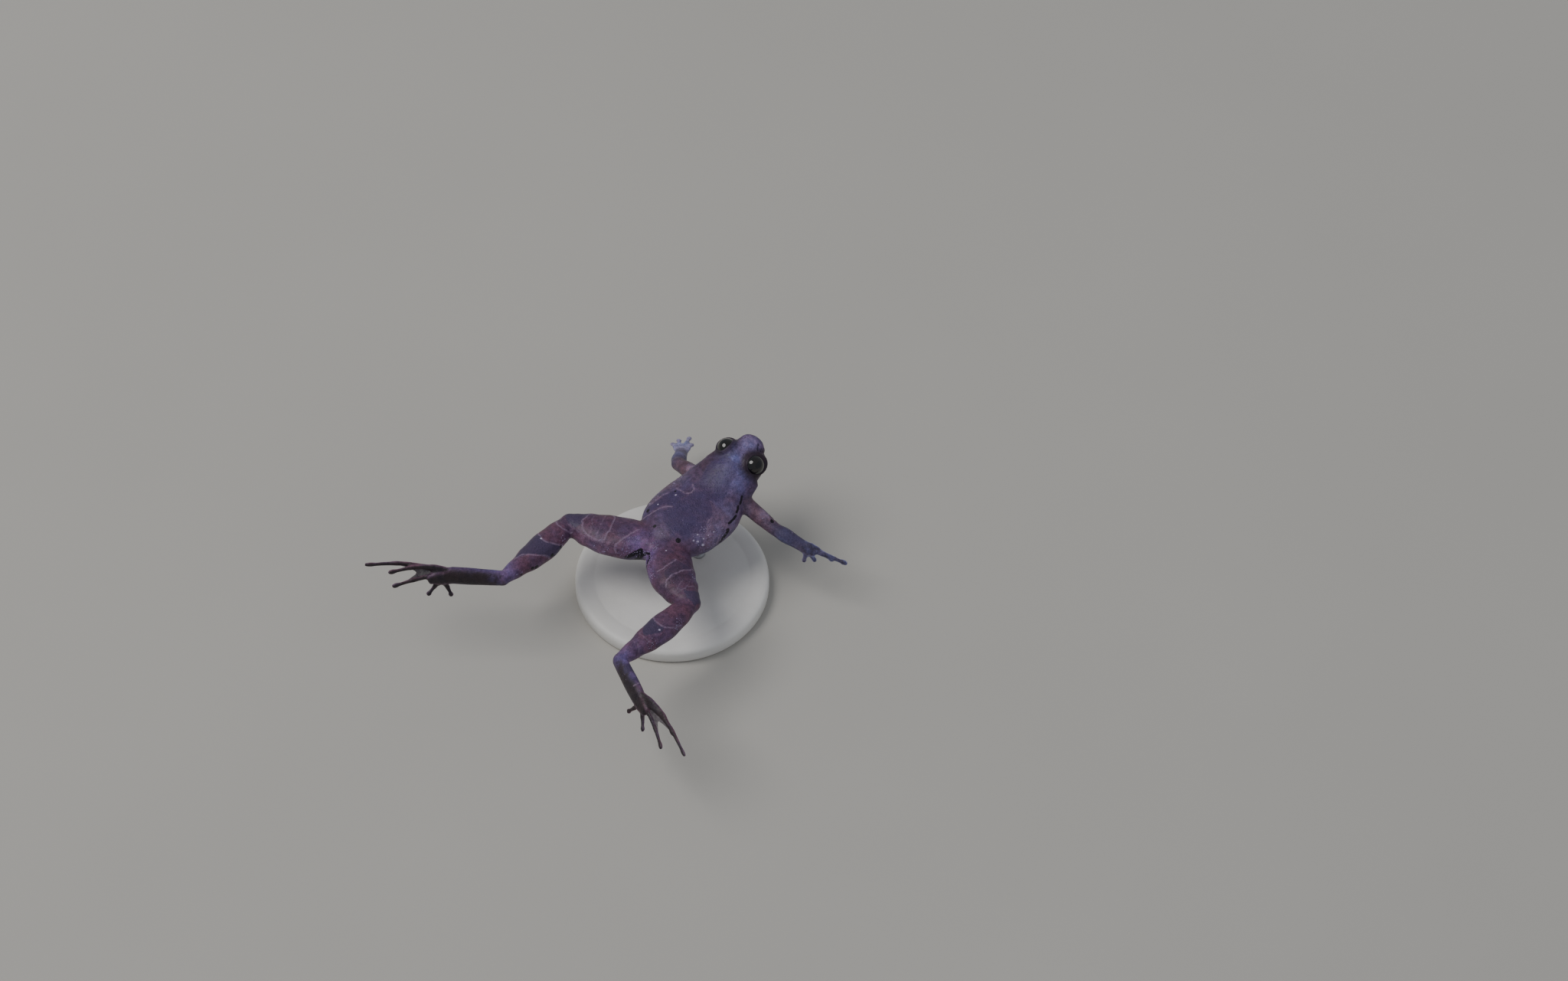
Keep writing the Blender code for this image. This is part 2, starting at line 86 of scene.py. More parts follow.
# Limb joints
HIPS = {"left": (-1.6, -2.2, 9.1), "right": (0.6, -1.6, 9.2)}
KNEES = {"left": (-10.63, -6.56, 9.0), "right": (8.82, -6.15, 10.2)}
HEELS = {"left": (-10.1, -18.28, 10.0), "right": (8.58, -18.12, 10.6)}
FOOT_ROOTS = {"left": (-14.5, -22.35, 10.55), "right": (13.82, -20.63, 11.0)}
SHOULDERS = {"left": (-3.4, 8.6, 10.1), "right": (2.4, 9.3, 10.1)}
ELBOWS = {"left": (-7.88, 9.39, 8.0), "right": (7.47, 9.85, 8.4)}
WRISTS = {"left": (-9.84, 12.09, 5.9), "right": (11.25, 10.84, 7.4)}
THIGH_BOWS = {"left": (0.05, -0.3, 0.05), "right": (-0.1, -0.7, 0.1)}
SHANK_BOWS = {"left": (0.25, 0.0, 0.0), "right": (0.18, 0.0, 0.0)}

# Toe and finger tips, from the first to the last digit
TOE_TIPS = {
    "left": ((-13.9, -23.09, 7.6), (-15.85, -25.39, 8.2), (-18.85, -28.28, 10.1),
             (-22.5, -29.15, 12.0), (-19.78, -27.93, 11.7)),
    "right": ((13.35, -21.93, 8.4), (16.99, -23.05, 8.8), (21.33, -24.38, 10.7),
              (24.8, -23.99, 12.0), (21.64, -22.59, 11.9)),
}
FINGER_TIPS = {
    "left": ((-12.52, 13.24, 4.4), (-12.58, 14.5, 3.9), (-11.98, 15.85, 3.6), (-10.58, 14.88, 4.4)),
    "right": ((12.19, 9.7, 6.1), (13.18, 10.89, 6.0), (16.4, 13.05, 6.4), (14.8, 12.34, 6.3)),
}

# Sections along a limb, as fractions of its length with half width and half height
THIGH_SECTIONS = (
    (0.0, 2.3, 1.8), (0.25, 2.8, 1.75), (0.5, 2.75, 1.65), (0.75, 2.25, 1.5), (0.9, 1.65, 1.35),
    (1.0, 1.3, 1.2),
)
SHANK_SECTIONS = (
    (0.0, 1.1, 1.05), (0.2, 1.55, 1.35), (0.4, 1.8, 1.42), (0.6, 1.6, 1.32), (0.8, 1.15, 1.08),
    (1.0, 0.82, 0.8),
)
TARSUS_SECTIONS = ((0.0, 0.95, 0.8), (0.3, 1.02, 0.81), (0.7, 1.12, 0.79), (1.0, 1.15, 0.68))
SOLE_SECTIONS = ((0.0, 1.15, 0.63), (0.5, 1.08, 0.47), (1.0, 0.72, 0.34))
TOE_SECTIONS = (
    (0.0, 0.38, 0.34), (0.22, 0.35, 0.3), (0.3, 0.38, 0.32), (0.42, 0.32, 0.27), (0.58, 0.3, 0.25),
    (0.65, 0.33, 0.27), (0.75, 0.26, 0.22), (0.88, 0.24, 0.21), (0.96, 0.37, 0.22), (1.0, 0.32, 0.18),
)
ARM_SECTIONS = ((0.0, 1.1, 1.05), (0.5, 0.98, 0.95), (1.0, 0.82, 0.8))
FOREARM_SECTIONS = ((0.0, 0.78, 0.76), (0.35, 0.93, 0.85), (0.8, 0.8, 0.62), (1.0, 0.78, 0.56))
PALM_SECTIONS = ((0.0, 0.76, 0.52), (0.6, 0.9, 0.46), (1.0, 0.66, 0.36))
FINGER_SECTIONS = (
    (0.0, 0.4, 0.34), (0.3, 0.34, 0.29), (0.42, 0.38, 0.31), (0.55, 0.32, 0.27), (0.84, 0.25, 0.23),
    (0.94, 0.37, 0.23), (1.0, 0.31, 0.18),
)
SOLE_LENGTH = 2.6
FOOT_SPREAD = 0.7
TOE_START = 1.0
TOE_ARCH = 0.03
TOE_BOWS = (0.0, 0.0, 0.01, 0.04, 0.05)
PALM_LENGTH = 1.3
PALM_SPREAD = 0.5
FINGER_START = 0.6
FINGER_ARCH = 0.1
DIGIT_CAP = 0.28
DIGIT_BLUNTNESS = 1.0
LIMB_BLUNTNESS = 0.9

# Rows along each kind of limb with points round each row, rings and angles of the domes over a limb's ends,
# and the rows beyond an end that still count as places along the limb
LIMB_GRIDS = {
    "thigh": (40, 36), "shank": (44, 32), "tarsus": (26, 28), "sole": (16, 28), "toe": (48, 14),
    "upper_arm": (22, 28), "forearm": (18, 28), "palm": (12, 20), "finger": (36, 14),
}
END_RINGS = 6
END_ANGLES = (88.0, 12.0)
BEYOND_ENDS = 8.0

# Webs between the toes
WEB_REACH = 0.8
WEB_LONG = 1.25
WEB_HOLLOW = 0.34
WEB_SAG = 0.1
WEB_THICKNESS = 0.1
WEB_START = 0.5
WEB_ROWS = 13
WEB_COLUMNS = 22

# The skin's mesh: size of its facets, and the reach of the smoothing at each joint
FACET = 0.143
JOINT_SOFTENING = (
    (HIPS, 3.2), (KNEES, 1.6), (HEELS, 1.2), (FOOT_ROOTS, 1.3), (SHOULDERS, 2.4), (ELBOWS, 1.2),
    (WRISTS, 0.9),
)
FINE_HEAD_START = 10.9
FINE_HEAD_FLOOR = 9.6
HEAD_FADE = 0.5
HEAD_SOFTENING = 0.8
HEAD_ROUNDS = 2
FIRST_ROUNDS = 5
JOINT_ROUNDS = 26
SOFT_EVERYWHERE = 0.35
SMOOTHING_STEP = 0.5
SMOOTHING_BACK = -0.53

# Round the digits the smoothing is weaker: from where, how far, and how weak
DIGIT_REACHES = ((FOOT_ROOTS, 11.0), (WRISTS, 6.0))
DIGIT_FADE = 0.8
DIGIT_SOFTENING = 0.3

# How fast one limb's tone gives way to the next, and the distance in radii beyond which none counts
BLEND_STEEPNESS = 3.2
FAR_FROM_LIMB = 4.0

# Lids and mouth
LID_FAR = 2.5
LID_SUNK = 0.3
LID_EDGE = 0.84
LID_FOLD = 1.38
LID_FOLD_DEPTH = 0.05
LID_FOLD_WIDTH = 0.12
MOUTH_ANGLE = -24.0
MOUTH_CURL = 7.0
MOUTH_CURL_REACH = 0.03
MOUTH_CORNER = 11.3
MOUTH_MARKS = 14
MOUTH_TIP = 0.95
MOUTH_FADE = (9.0, 10.0)
MOUTH_DEPTH = 0.13
MOUTH_WIDTH = 0.075
LIP_HEIGHT = 0.05
LIP_OFFSET = 0.2
LIP_WIDTH = 0.11

# Small bumps and pits of the skin: limb, of both sides if none is named, fraction along, turn, height, reach
BUMPS = (
    ("body", 0.99, 52, -0.22, 0.14), ("body", 0.99, 128, -0.22, 0.14),
    ("body", 0.98, 50, 0.04, 0.3), ("body", 0.98, 130, 0.04, 0.3),
    ("body", 0.92, 2, 0.32, 1.2), ("body", 0.97, 8, 0.28, 0.9), ("body", 0.92, 178, 0.15, 1.2),
    ("body", 0.0, 100, 0.12, 0.5),
    ("sole", 0.35, -60, 0.1, 0.2), ("sole", 0.4, -120, 0.08, 0.17),
    ("palm", 0.3, -60, 0.07, 0.14), ("palm", 0.35, -120, 0.07, 0.14),
)

# Folds and creases: limb, of both sides if none is named, pairs of fraction along and turn, height, reach
FOLDS = (
    ("body", ((0.79, 14), (0.745, 0), (0.7, -10), (0.655, -18)), 0.045, 0.32),
    ("body", ((0.79, 166), (0.745, 180), (0.7, 190), (0.655, 198)), 0.045, 0.32),
    ("thigh_left", ((0.3, 165), (0.5, 158), (0.7, 155), (0.88, 150)), -0.07, 0.3),
    ("thigh_right", ((0.3, 165), (0.5, 160), (0.7, 158), (0.88, 155)), -0.07, 0.3),
    ("thigh", ((0.84, 60), (0.9, 100), (0.9, 140)), -0.06, 0.18),
    ("shank", ((0.12, 150), (0.35, 150), (0.6, 152), (0.85, 150)), -0.06, 0.28),
    ("upper_arm", ((0.86, 20), (0.88, 90), (0.86, 160)), -0.05, 0.12),
)

# Colours, as seen: red, green and blue out of 255
COLOURS = {
    "back": (86, 71, 102), "back_light": (124, 108, 136), "flank": (108, 92, 110),
    # The head top and snout tones are the skin's own colour with a painted bluish sky sheen over it
    "head_top": (122, 122, 174), "snout": (144, 138, 182), "head_side": (78, 60, 78),
    "thigh": (92, 66, 88), "thigh_dark": (78, 57, 75), "thigh_rear": (122, 98, 124), "root": (118, 92, 136),
    "shank": (99, 71, 92), "lavender": (112, 96, 142), "tarsus": (88, 74, 106),
    # The sole tone is painted shade on the downward faces of the tarsi, soles and toes; it also gives the
    # undersides' brown marbling and the webs' veins
    "sole": (50, 42, 46), "foot_top": (106, 80, 98), "arm": (98, 78, 94), "pink": (160, 136, 158),
    "forearm": (84, 80, 108), "hand": (150, 152, 188), "belly": (128, 112, 122), "limb_under": (92, 76, 90),
    "dark_bar": (72, 62, 90), "back_dark": (66, 54, 92), "pale_line": (146, 122, 148),
    "speck": (156, 140, 176), "granule": (134, 114, 154), "white_dot": (206, 194, 220),
    "black_spot": (14, 12, 18), "lid": (50, 38, 48),
    "iris": (16, 13, 12), "iris_fleck": (38, 30, 22), "eye_dark": (6, 6, 8), "pupil": (2, 2, 3),
    "web": (84, 76, 82), "web_light": (112, 104, 108), "base": (226, 224, 219),
    "base_light": (236, 234, 230), "steel": (176, 178, 182), "steel_light": (206, 208, 210),
    "floor": (188, 185, 178), "floor_light": (196, 193, 186),
}

# How far down the skin faces where the upper tone starts to give way, and where the lower one is reached
UNDERSIDE = (0.1, 0.75)

# Upper and lower tone of each part, by the start of its name; the dark lower tone of the tarsus, sole and
# toes is painted shade where they face down
LIMB_TONES = {
    "body": ("back", "belly"), "thigh": ("thigh", "thigh_rear"), "shank": ("shank", "limb_under"),
    "tarsus": ("tarsus", "sole"), "sole": ("foot_top", "sole"), "toe": ("foot_top", "sole"),
    "upper_arm": ("arm", "limb_under"), "forearm": ("forearm", "limb_under"), "palm": ("hand", "forearm"),
    "finger": ("hand", "forearm"),
}

# Soft patches of another tone: limb, fraction along, turn, reach, colour, strength
ACCENTS = (
    ("body", 0.5, 25, 2.0, "back_light", 0.8), ("body", 0.38, 28, 1.9, "back_light", 0.8),
    ("body", 0.28, 35, 1.6, "back_light", 0.6), ("body", 0.3, 165, 1.5, "flank", 0.8),
    ("body", 0.42, 160, 1.4, "flank", 0.9), ("body", 0.52, 150, 1.3, "flank", 0.8),
    # Head top and snout patches: painted bluish sky sheen over the skin's colour
    ("body", 0.82, 90, 1.8, "head_top", 0.85), ("body", 0.72, 70, 1.6, "head_top", 0.5),
    ("body", 0.97, 90, 1.3, "snout", 0.8), ("body", 0.68, 135, 1.4, "head_side", 0.8),
    ("body", 0.84, 0, 1.3, "head_side", 0.8), ("body", 0.82, 180, 1.3, "head_side", 0.8),
    ("body", 0.95, 0, 0.9, "head_side", 0.6), ("thigh_left", 0.1, 120, 1.7, "root", 0.9),
    ("thigh_left", 0.5, 175, 1.6, "thigh_rear", 0.8), ("thigh_left", 0.75, 160, 1.2, "thigh_rear", 0.6),
    ("thigh_right", 0.15, 25, 1.4, "root", 0.9), ("thigh_right", 0.4, 18, 1.4, "root", 0.6),
    ("thigh_right", 0.7, 165, 1.2, "lavender", 0.5), ("thigh_right", 0.6, 95, 2.3, "thigh_dark", 0.9),
    ("shank_left", 0.97, 90, 1.4, "lavender", 0.85), ("shank_left", 0.85, 50, 1.0, "lavender", 0.4),
    ("shank_right", 0.97, 90, 1.4, "lavender", 0.85), ("shank_right", 0.75, 125, 1.3, "lavender", 0.2),
    ("shank_right", 0.5, 165, 1.1, "lavender", 0.3), ("tarsus_right", 0.12, 90, 1.0, "lavender", 0.7),
    ("tarsus_right", 0.12, 0, 0.9, "lavender", 0.5), ("tarsus_left", 0.12, 90, 1.1, "lavender", 0.7),
    ("tarsus_right", 0.6, -10, 0.6, "lavender", 0.55), ("upper_arm_right", 0.6, 100, 0.7, "pink", 0.7),
    # The left forearm's head top patch is the same painted sky sheen on its upper face
    ("upper_arm_left", 0.3, 100, 0.9, "pink", 0.6), ("forearm_left", 0.5, 90, 0.9, "head_top", 0.5),
)

# Darker skin round the eyes: how strong, and how far from the middle of the eye it fades out
EYE_SURROUNDS = {"left": 0.45, "right": 0.9}
SURROUND_FADE = (1.4, 2.15)

# Dark patches: limb, strength, and a closed loop of fraction along and turn
DARK_PATCHES = (
    ("thigh_left", 0.3, (
        (0.45, 55), (0.36, 60), (0.18, 76), (0.22, 104), (0.31, 123), (0.42, 115), (0.47, 97), (0.45, 75),
    )),
    ("thigh_left", 0.85, (
        (0.78, 30), (0.77, 50), (0.82, 78), (0.81, 106), (0.87, 134), (0.95, 126), (1.03, 96), (1.06, 50),
        (0.95, 15),
    )),
    ("thigh_left", 0.85, (
        (0.26, 188), (0.15, 167), (0.1, 160), (0.03, 152), (-0.04, 165), (0.02, 200), (0.15, 200),
    )),
    ("thigh_right", 0.7, ((0.04, -5), (0.12, -2), (0.22, 2), (0.24, -20), (0.1, -30), (0.0, -25))),
    ("shank_left", 0.9, (
        (0.37, 34), (0.41, 81), (0.4, 118), (0.33, 158), (0.28, 192), (0.38, 192), (0.48, 177), (0.58, 131),
        (0.66, 97), (0.76, 55), (0.68, 32), (0.52, 20),
    )),
    ("thigh_right", 0.35, (
        (0.35, 105), (0.42, 131), (0.51, 152), (0.56, 136), (0.59, 97), (0.61, 65), (0.58, 50), (0.51, 56),
        (0.44, 83),
    )),
    ("thigh_right", 0.85, (
        (0.87, 80), (0.9, 106), (0.92, 150), (0.95, 185), (1.06, 190), (1.08, 143), (1.1, 95), (0.98, 75),
    )),
    ("shank_right", 0.9, (
        (0.42, 30), (0.48, 87), (0.45, 118), (0.52, 131), (0.58, 115), (0.66, 94), (0.63, 57), (0.5, 15),
    )),
    ("forearm_right", 0.5, ((0.1, 30), (0.1, 150), (0.9, 150), (0.9, 30))),
    ("tarsus_right", 0.8, ((0.33, 60), (0.3, 0), (0.36, -50), (0.5, -50), (0.52, 0), (0.5, 60))),
    ("tarsus_left", 0.7, ((0.3, 120), (0.32, 60), (0.3, 0), (0.48, 0), (0.5, 60), (0.46, 120))),
    ("tarsus_left", 0.7, ((0.82, 120), (0.84, 60), (0.84, 0), (0.98, 0), (0.98, 60), (0.96, 120))),
)
# The next limb that a limb's dark patches may run onto, and the depth that stands for far outside
DARK_SPILLS = {"thigh_left": "shank_left", "thigh_right": "shank_right", "tarsus_left": "sole_left"}
FAR_OUTSIDE = -9.0

# The darker markings of the back, closed loops of x and y
BACK_MARKS = (
    ((-3.4, 4.25), (-2.42, 4.39), (-1.74, 4.55), (-1.84, 3.78), (-1.88, 2.34), (-2.92, 1.83), (-3.4, 1.02),
     (-4.12, 0.16), (-4.67, 0.9), (-4.22, 1.74), (-4.02, 2.85), (-3.65, 3.64)),
    ((-0.5, 5.88), (1.69, 5.16), (2.32, 4.34), (3.28, 2.72), (2.98, 1.86), (2.41, 1.44), (2.06, 0.5),
     (1.24, -0.09), (-1.0, -0.2), (-2.2, 0.92), (-1.7, 2.15), (-1.61, 4.41)),
    ((-1.5, 6.4), (-2.3, 8.2), (-2.1, 9.8), (-1.0, 10.8), (0.8, 10.4), (1.5, 8.6), (1.8, 6.4), (0.6, 5.6)),
)
BACK_LINES = (
    ((-2.32, 6.64), (-1.69, 6.19), (-1.51, 5.33), (-1.92, 4.74), (-2.79, 4.49), (-3.59, 4.38)),
    ((-3.88, 3.44), (-4.25, 2.95), (-4.39, 2.22), (-4.56, 1.66), (-4.81, 1.26)),
    ((-1.96, 2.13), (-2.78, 1.68), (-3.21, 0.96), (-3.54, 0.29), (-4.07, -0.19)),
    ((2.52, 4.42), (2.7, 3.86), (3.0, 3.24), (3.28, 2.72)),
    ((4.33, 4.68), (4.4, 4.17), (4.41, 3.72), (4.39, 3.29)),
)

# Thin pale lines of the legs, and fainter ones
PALE_LINES = (
    ("thigh_left", (
        (0.81, 95), (0.8, 65), (0.75, 39), (0.62, 22), (0.49, 41), (0.47, 74), (0.48, 111), (0.52, 134),
        (0.64, 137), (0.75, 125), (0.81, 95),
    )),
    ("thigh_left", ((0.13, 81), (0.22, 101), (0.3, 120), (0.35, 136), (0.35, 152), (0.34, 165))),
    ("shank_left", ((0.12, 54), (0.17, 95), (0.14, 136), (0.1, 167))),
    ("shank_left", ((0.34, 30), (0.41, 79), (0.4, 116), (0.34, 146), (0.29, 169))),
    ("shank_left", ((0.78, 51), (0.73, 62), (0.66, 96), (0.58, 131), (0.5, 160), (0.48, 178))),
    ("thigh_right", ((0.37, 104), (0.44, 78), (0.47, 50))),
    ("thigh_right", ((0.5, 162), (0.56, 136), (0.58, 101), (0.6, 76), (0.64, 56), (0.69, 45))),
    ("shank_right", ((0.43, 40), (0.47, 84), (0.44, 122), (0.36, 145), (0.27, 162))),
    ("tarsus_right", ((0.88, 60), (0.86, 0), (0.9, -50))),
)
FAINT_LINES = (
    ("thigh_left", ((0.9, 133), (0.71, 140), (0.52, 138), (0.38, 132))),
    ("thigh_left", ((0.72, 50), (0.7, 90), (0.66, 122))),
    ("thigh_left", ((0.6, 40), (0.6, 80), (0.58, 118))),
    ("thigh_right", ((0.72, 101), (0.81, 68))),
    ("thigh_right", ((0.71, 137), (0.84, 103))),
    ("thigh_right", ((0.85, 80), (0.84, 110), (0.86, 150))),
    ("shank_right", ((0.66, 50), (0.68, 96), (0.66, 140))),
    ("shank_right", ((0.8, 60), (0.78, 110), (0.82, 150))),
)

# Lines on the skin: spacing of their points, points for each mark, degrees of turn that count as one
# length of limb, rounds of smoothing, and pieces from corner to corner of a closed loop
LINE_SPACING = 0.08
POINTS_PER_MARK = 8
DEGREES_PER_LENGTH = 100.0
LINE_ROUNDS = 10
LOOP_STEPS = 12

# Black spots and streaks, and single white dots, as places with a radius or half width
BLACK_SPOTS = (
    ((-1.82, -1.1, 11.09), 0.23), ((1.6, -0.7, 10.94), 0.32), ((-4.25, 0.35, 10.6), 0.26),
    ((-3.25, 4.1, 11.68), 0.16),
)
LIMB_SPOTS = (
    ("body", 0.99, 52, 0.09), ("body", 0.99, 128, 0.09),
    ("shank_left", 0.31, 173, 0.23), ("shank_left", 0.45, 173, 0.27), ("shank_left", 0.66, 178, 0.27),
    ("shank_left", 0.69, 178, 0.24), ("shank_left", 0.83, 176, 0.17), ("upper_arm_right", 0.84, 95, 0.26),
)
BLACK_STREAKS = (
    (((3.12, 8.78, 11.79), (3.26, 8.51, 11.51), (3.4, 8.28, 11.3)), 0.16),
    (((3.49, 7.8, 11.15), (3.63, 7.5, 10.98), (3.76, 7.17, 10.87)), 0.17),
    (((3.97, 6.8, 10.67), (4.06, 6.15, 10.67), (4.1, 5.5, 10.63)), 0.16),
    (((4.43, 5.0, 10.19), (4.5, 4.51, 9.8), (4.5, 3.98, 9.49), (4.42, 3.58, 9.17)), 0.25),
    (((-2.1, -5.5, 9.2), (-1.5, -4.85, 9.7), (-1.1, -4.2, 10.0)), 0.27),
    (((-0.95, -4.1, 9.6), (-1.1, -4.5, 9.0), (-1.2, -4.8, 8.5)), 0.32),
    (((-0.7, -4.0, 9.5), (0.0, -3.85, 10.0), (0.75, -4.45, 10.3), (1.1, -5.3, 9.8)), 0.17),
)
WHITE_DOTS = (
    ((-2.75, 3.64, 11.81), 0.13), ((-3.67, 1.45, 11.25), 0.11), ((-4.86, 1.41, 10.45), 0.1),
    ((3.74, 1.34, 10.07), 0.17), ((3.24, 1.07, 10.54), 0.13), ((2.84, 0.76, 10.73), 0.12),
    ((2.72, 1.56, 11.05), 0.1), ((3.72, 3.28, 10.69), 0.1), ((3.49, 1.76, 10.6), 0.1),
    ((3.53, 2.53, 10.73), 0.08), ((1.75, -2.77, 11.13), 0.1),
)
LIMB_DOTS = (
    ("shank_left", 0.43, 80, 0.14), ("shank_right", 0.52, 114, 0.14), ("shank_left", 0.66, 172, 0.1),
    ("shank_left", 0.29, 174, 0.12),
)

# Fields of pale specks: limb, fraction along, turn, reach, density from 0 to 1
SPECK_FIELDS = (
    ("body", 0.27, 30, 1.9, 0.7), ("body", 0.42, 22, 1.5, 0.55), ("body", 0.3, 155, 1.3, 0.5),
    ("body", 0.1, 90, 1.3, 0.35), ("body", 0.47, 155, 1.3, 0.6), ("thigh_left", 0.1, 135, 1.3, 1.0),
    ("thigh_left", 0.25, 150, 1.2, 0.7), ("thigh_left", 0.5, 160, 1.6, 0.45),
    ("thigh_left", 0.75, 155, 1.2, 0.35), ("thigh_right", 0.12, 50, 1.3, 0.8),
    ("thigh_right", 0.2, 22, 1.3, 1.0), ("thigh_right", 0.42, 20, 1.3, 0.7),
    ("thigh_right", 0.7, 165, 0.9, 0.6), ("shank_left", 0.25, 150, 0.9, 0.5),
    ("shank_left", 0.85, 140, 1.2, 0.4), ("shank_right", 0.3, 150, 1.2, 0.5),
    ("shank_right", 0.65, 150, 1.2, 0.5), ("upper_arm_right", 0.6, 100, 1.0, 0.5),
    ("forearm_right", 0.5, 120, 1.0, 0.35), ("upper_arm_left", 0.4, 100, 1.0, 0.5),
    ("tarsus_left", 0.6, 60, 1.2, 0.6),
)
SPECK_EVERYWHERE = 0.12
RIM_WIDTH = 0.25

# Mottling of the skin, from wide to fine: scale, detail and roughness of the noise, the band of it in
# which the tint turns, and the two tints
MOTTLING = (
    (0.55, 3.0, 0.55, (0.35, 0.65), (0.92, 0.97, 1.1, 1), (1.12, 0.96, 0.95, 1)),
    (1.7, 4.0, 0.6, (0.3, 0.7), (0.68, 0.68, 0.72, 1), (1.28, 1.26, 1.24, 1)),
    (6.5, 4.0, 0.65, (0.3, 0.7), (0.78, 0.78, 0.8, 1), (1.22, 1.2, 1.2, 1)),
)
# Pale and faint lines: where they fade out in millimetres, and how noise breaks them up
LINE_LOOKS = (
    ("pale", (0.15, 0.07), (0.38, 0.5, 0.2, 0.6)), ("faint", (0.15, 0.06), (0.42, 0.56, 0.05, 0.35)),
)

# Granules
GRANULE_COUNT = 620
GRANULE_SIZES = (0.03, 0.075)
GRANULE_SEED = 7
GRANULE_LEAST_SPECK = 0.3
GRANULE_SIDES = 7
GRANULE_RINGS = (-20.0, 25.0, 70.0)
GRANULE_HEIGHT = 0.55

# Half width and half height of the pupil, in degrees from the middle of the gaze
PUPIL = (26.0, 20.0)

# The stand: outline of the base as radius and height, and the places of the rods
BASE_PROFILE = (
    (0.0, 0.0), (11.1, 0.0), (11.35, 0.1), (11.5, 0.4), (11.5, 1.45), (11.38, 1.75), (11.1, 1.92),
    (10.7, 2.0), (9.4, 2.0), (9.25, 1.96), (9.1, 2.0), (1.0, 2.0), (0.0, 2.0),
)
ROD_PLACES = {"front": (0.0, 4.6), "rear": (0.0, -0.8)}
BASE_TOP = 2.0
BASE_SIDES = 160
ROD_SIDES = 48
THINNEST = 0.02

# The rods' outline: radius and height, of the collar above the base's top and of the tip from the rod's end
COLLAR_PROFILE = ((0.0, 0.0), (0.75, 0.0), (0.8, 0.06), (0.8, 0.42), (0.74, 0.5), (0.62, 0.52), (0.6, 0.58))
TIP_PROFILE = ((0.6, -0.5), (0.6, -0.12), (0.54, -0.03), (0.4, 0.02), (0.0, 0.04))

# Camera: lens and sensor, angle round the model and above the floor, distance from the place that it aims
# at, and its shift to the right and up
CAMERA_LENS = 400.0
CAMERA_SENSOR = 36.0
CAMERA_AZIMUTH = 43.0
CAMERA_ELEVATION = 52.0
CAMERA_DISTANCE = 2059.0
CAMERA_AIM = (0.78, 1.5, 12.0)
CAMERA_SLIDE = (11.67, 3.57)

# Lights: name, place and width in metres, power, tint, and whether smooth surfaces mirror it
LIGHTS = (
    ("softbox", (-0.34, -0.32, 0.72), 0.55, 3.6, (1.0, 0.98, 0.96), True),
    ("side_fill", (0.6, 0.25, 0.5), 0.9, 0.8, (0.9, 0.95, 1.0), False),
)

# Sky, and half the width of the floor
SKY_TINT = (0.78, 0.82, 0.9, 1.0)
SKY_STRENGTH = 0.32
FLOOR_HALF = 1500.0

# What every surface effect gives out, and how deep the bumps of the skin are in millimetres
SURFACE_OUTPUTS = (
    ("Colour", "NodeSocketColor"), ("Roughness", "NodeSocketFloat"), ("Height", "NodeSocketFloat"),
)
SKIN_BUMP = 0.05


def unit(vector):
    vector = np.array(vector, float)
    return vector / np.linalg.norm(vector)


def smooth_step(value, low, high):
    """0 below low, 1 above high, and three t squared less two t cubed between them."""
    t = np.clip((value - low) / (high - low), 0.0, 1.0)
    return t * t * (3.0 - 2.0 * t)


def hump(distance, reach):
    """A bell: e to the power of minus the square of distance over reach."""
    return np.exp(-((distance / reach) ** 2))


def apart(points, place):
    """The distance of each point from one place."""
    return np.linalg.norm(points - place, axis=1)


def turns(sides):
    """The angles of a ring's points, in even steps."""
    return np.arange(sides) * 2 * np.pi / sides


def level_rings(radii, heights, sides):
    """Ring points: radius x cos(a), radius x sin(a) and the ring's height, ring after ring."""
    radii = np.array(radii)[:, None]
    level = np.array(heights)[:, None] * np.ones(sides)
    turn = turns(sides)
    return np.stack([radii * np.cos(turn), radii * np.sin(turn), level], axis=-1).reshape(-1, 3)


def smooth_rows(rows, count):
    """Rows evenly spread along cubic pieces that pass through the given rows with shared slopes."""
    rows = np.array(rows, float)
    lengths = np.linalg.norm(np.diff(rows[:, :3], axis=0), axis=1)
    places = np.concatenate([[0.0], np.cumsum(lengths)])
    slopes = np.gradient(rows, places, axis=0)
    wanted = np.linspace(0.0, places[-1], count)
    first = np.clip(np.searchsorted(places, wanted) - 1, 0, len(rows) - 2)
    span = (places[first + 1] - places[first])[:, None]
    t = (wanted - places[first])[:, None] / span
    return (
        (2 * t**3 - 3 * t**2 + 1) * rows[first]
        + (t**3 - 2 * t**2 + t) * span * slopes[first]
        + (3 * t**2 - 2 * t**3) * rows[first + 1]
        + (t**3 - t**2) * span * slopes[first + 1]
    )


def frames_along(rows, up):
    """The direction, right side and upper side of the path at each row, turned by the row's roll."""
    along = np.gradient(rows[:, :3], axis=0)
    along /= np.linalg.norm(along, axis=1)[:, None]
    right = np.cross(along, np.array(up, float))
    right /= np.linalg.norm(right, axis=1)[:, None]
    above = np.cross(right, along)
    roll = np.radians(rows[:, 6])[:, None]
    turned_right = right * np.cos(roll) - above * np.sin(roll)
    turned_above = right * np.sin(roll) + above * np.cos(roll)
    return along, turned_right, turned_above


def limb_rows(points, sections, count):
    """Rows on a smooth curve through the points, sized by cosine steps between the sections."""
    path = smooth_rows([(*point, 0, 0, 0, 0) for point in points], count)
    fraction = np.linspace(0.0, 1.0, count)
    at, half, height = np.array(sections, float).T
    place = np.interp(fraction, at, np.arange(len(at)))
    first = np.minimum(place.astype(int), len(at) - 2)
    t = (1 - np.cos(np.pi * (place - first))) / 2
    path[:, 3] = half[first] + (half[first + 1] - half[first]) * t
    path[:, 4] = path[:, 5] = height[first] + (height[first + 1] - height[first]) * t
    return path


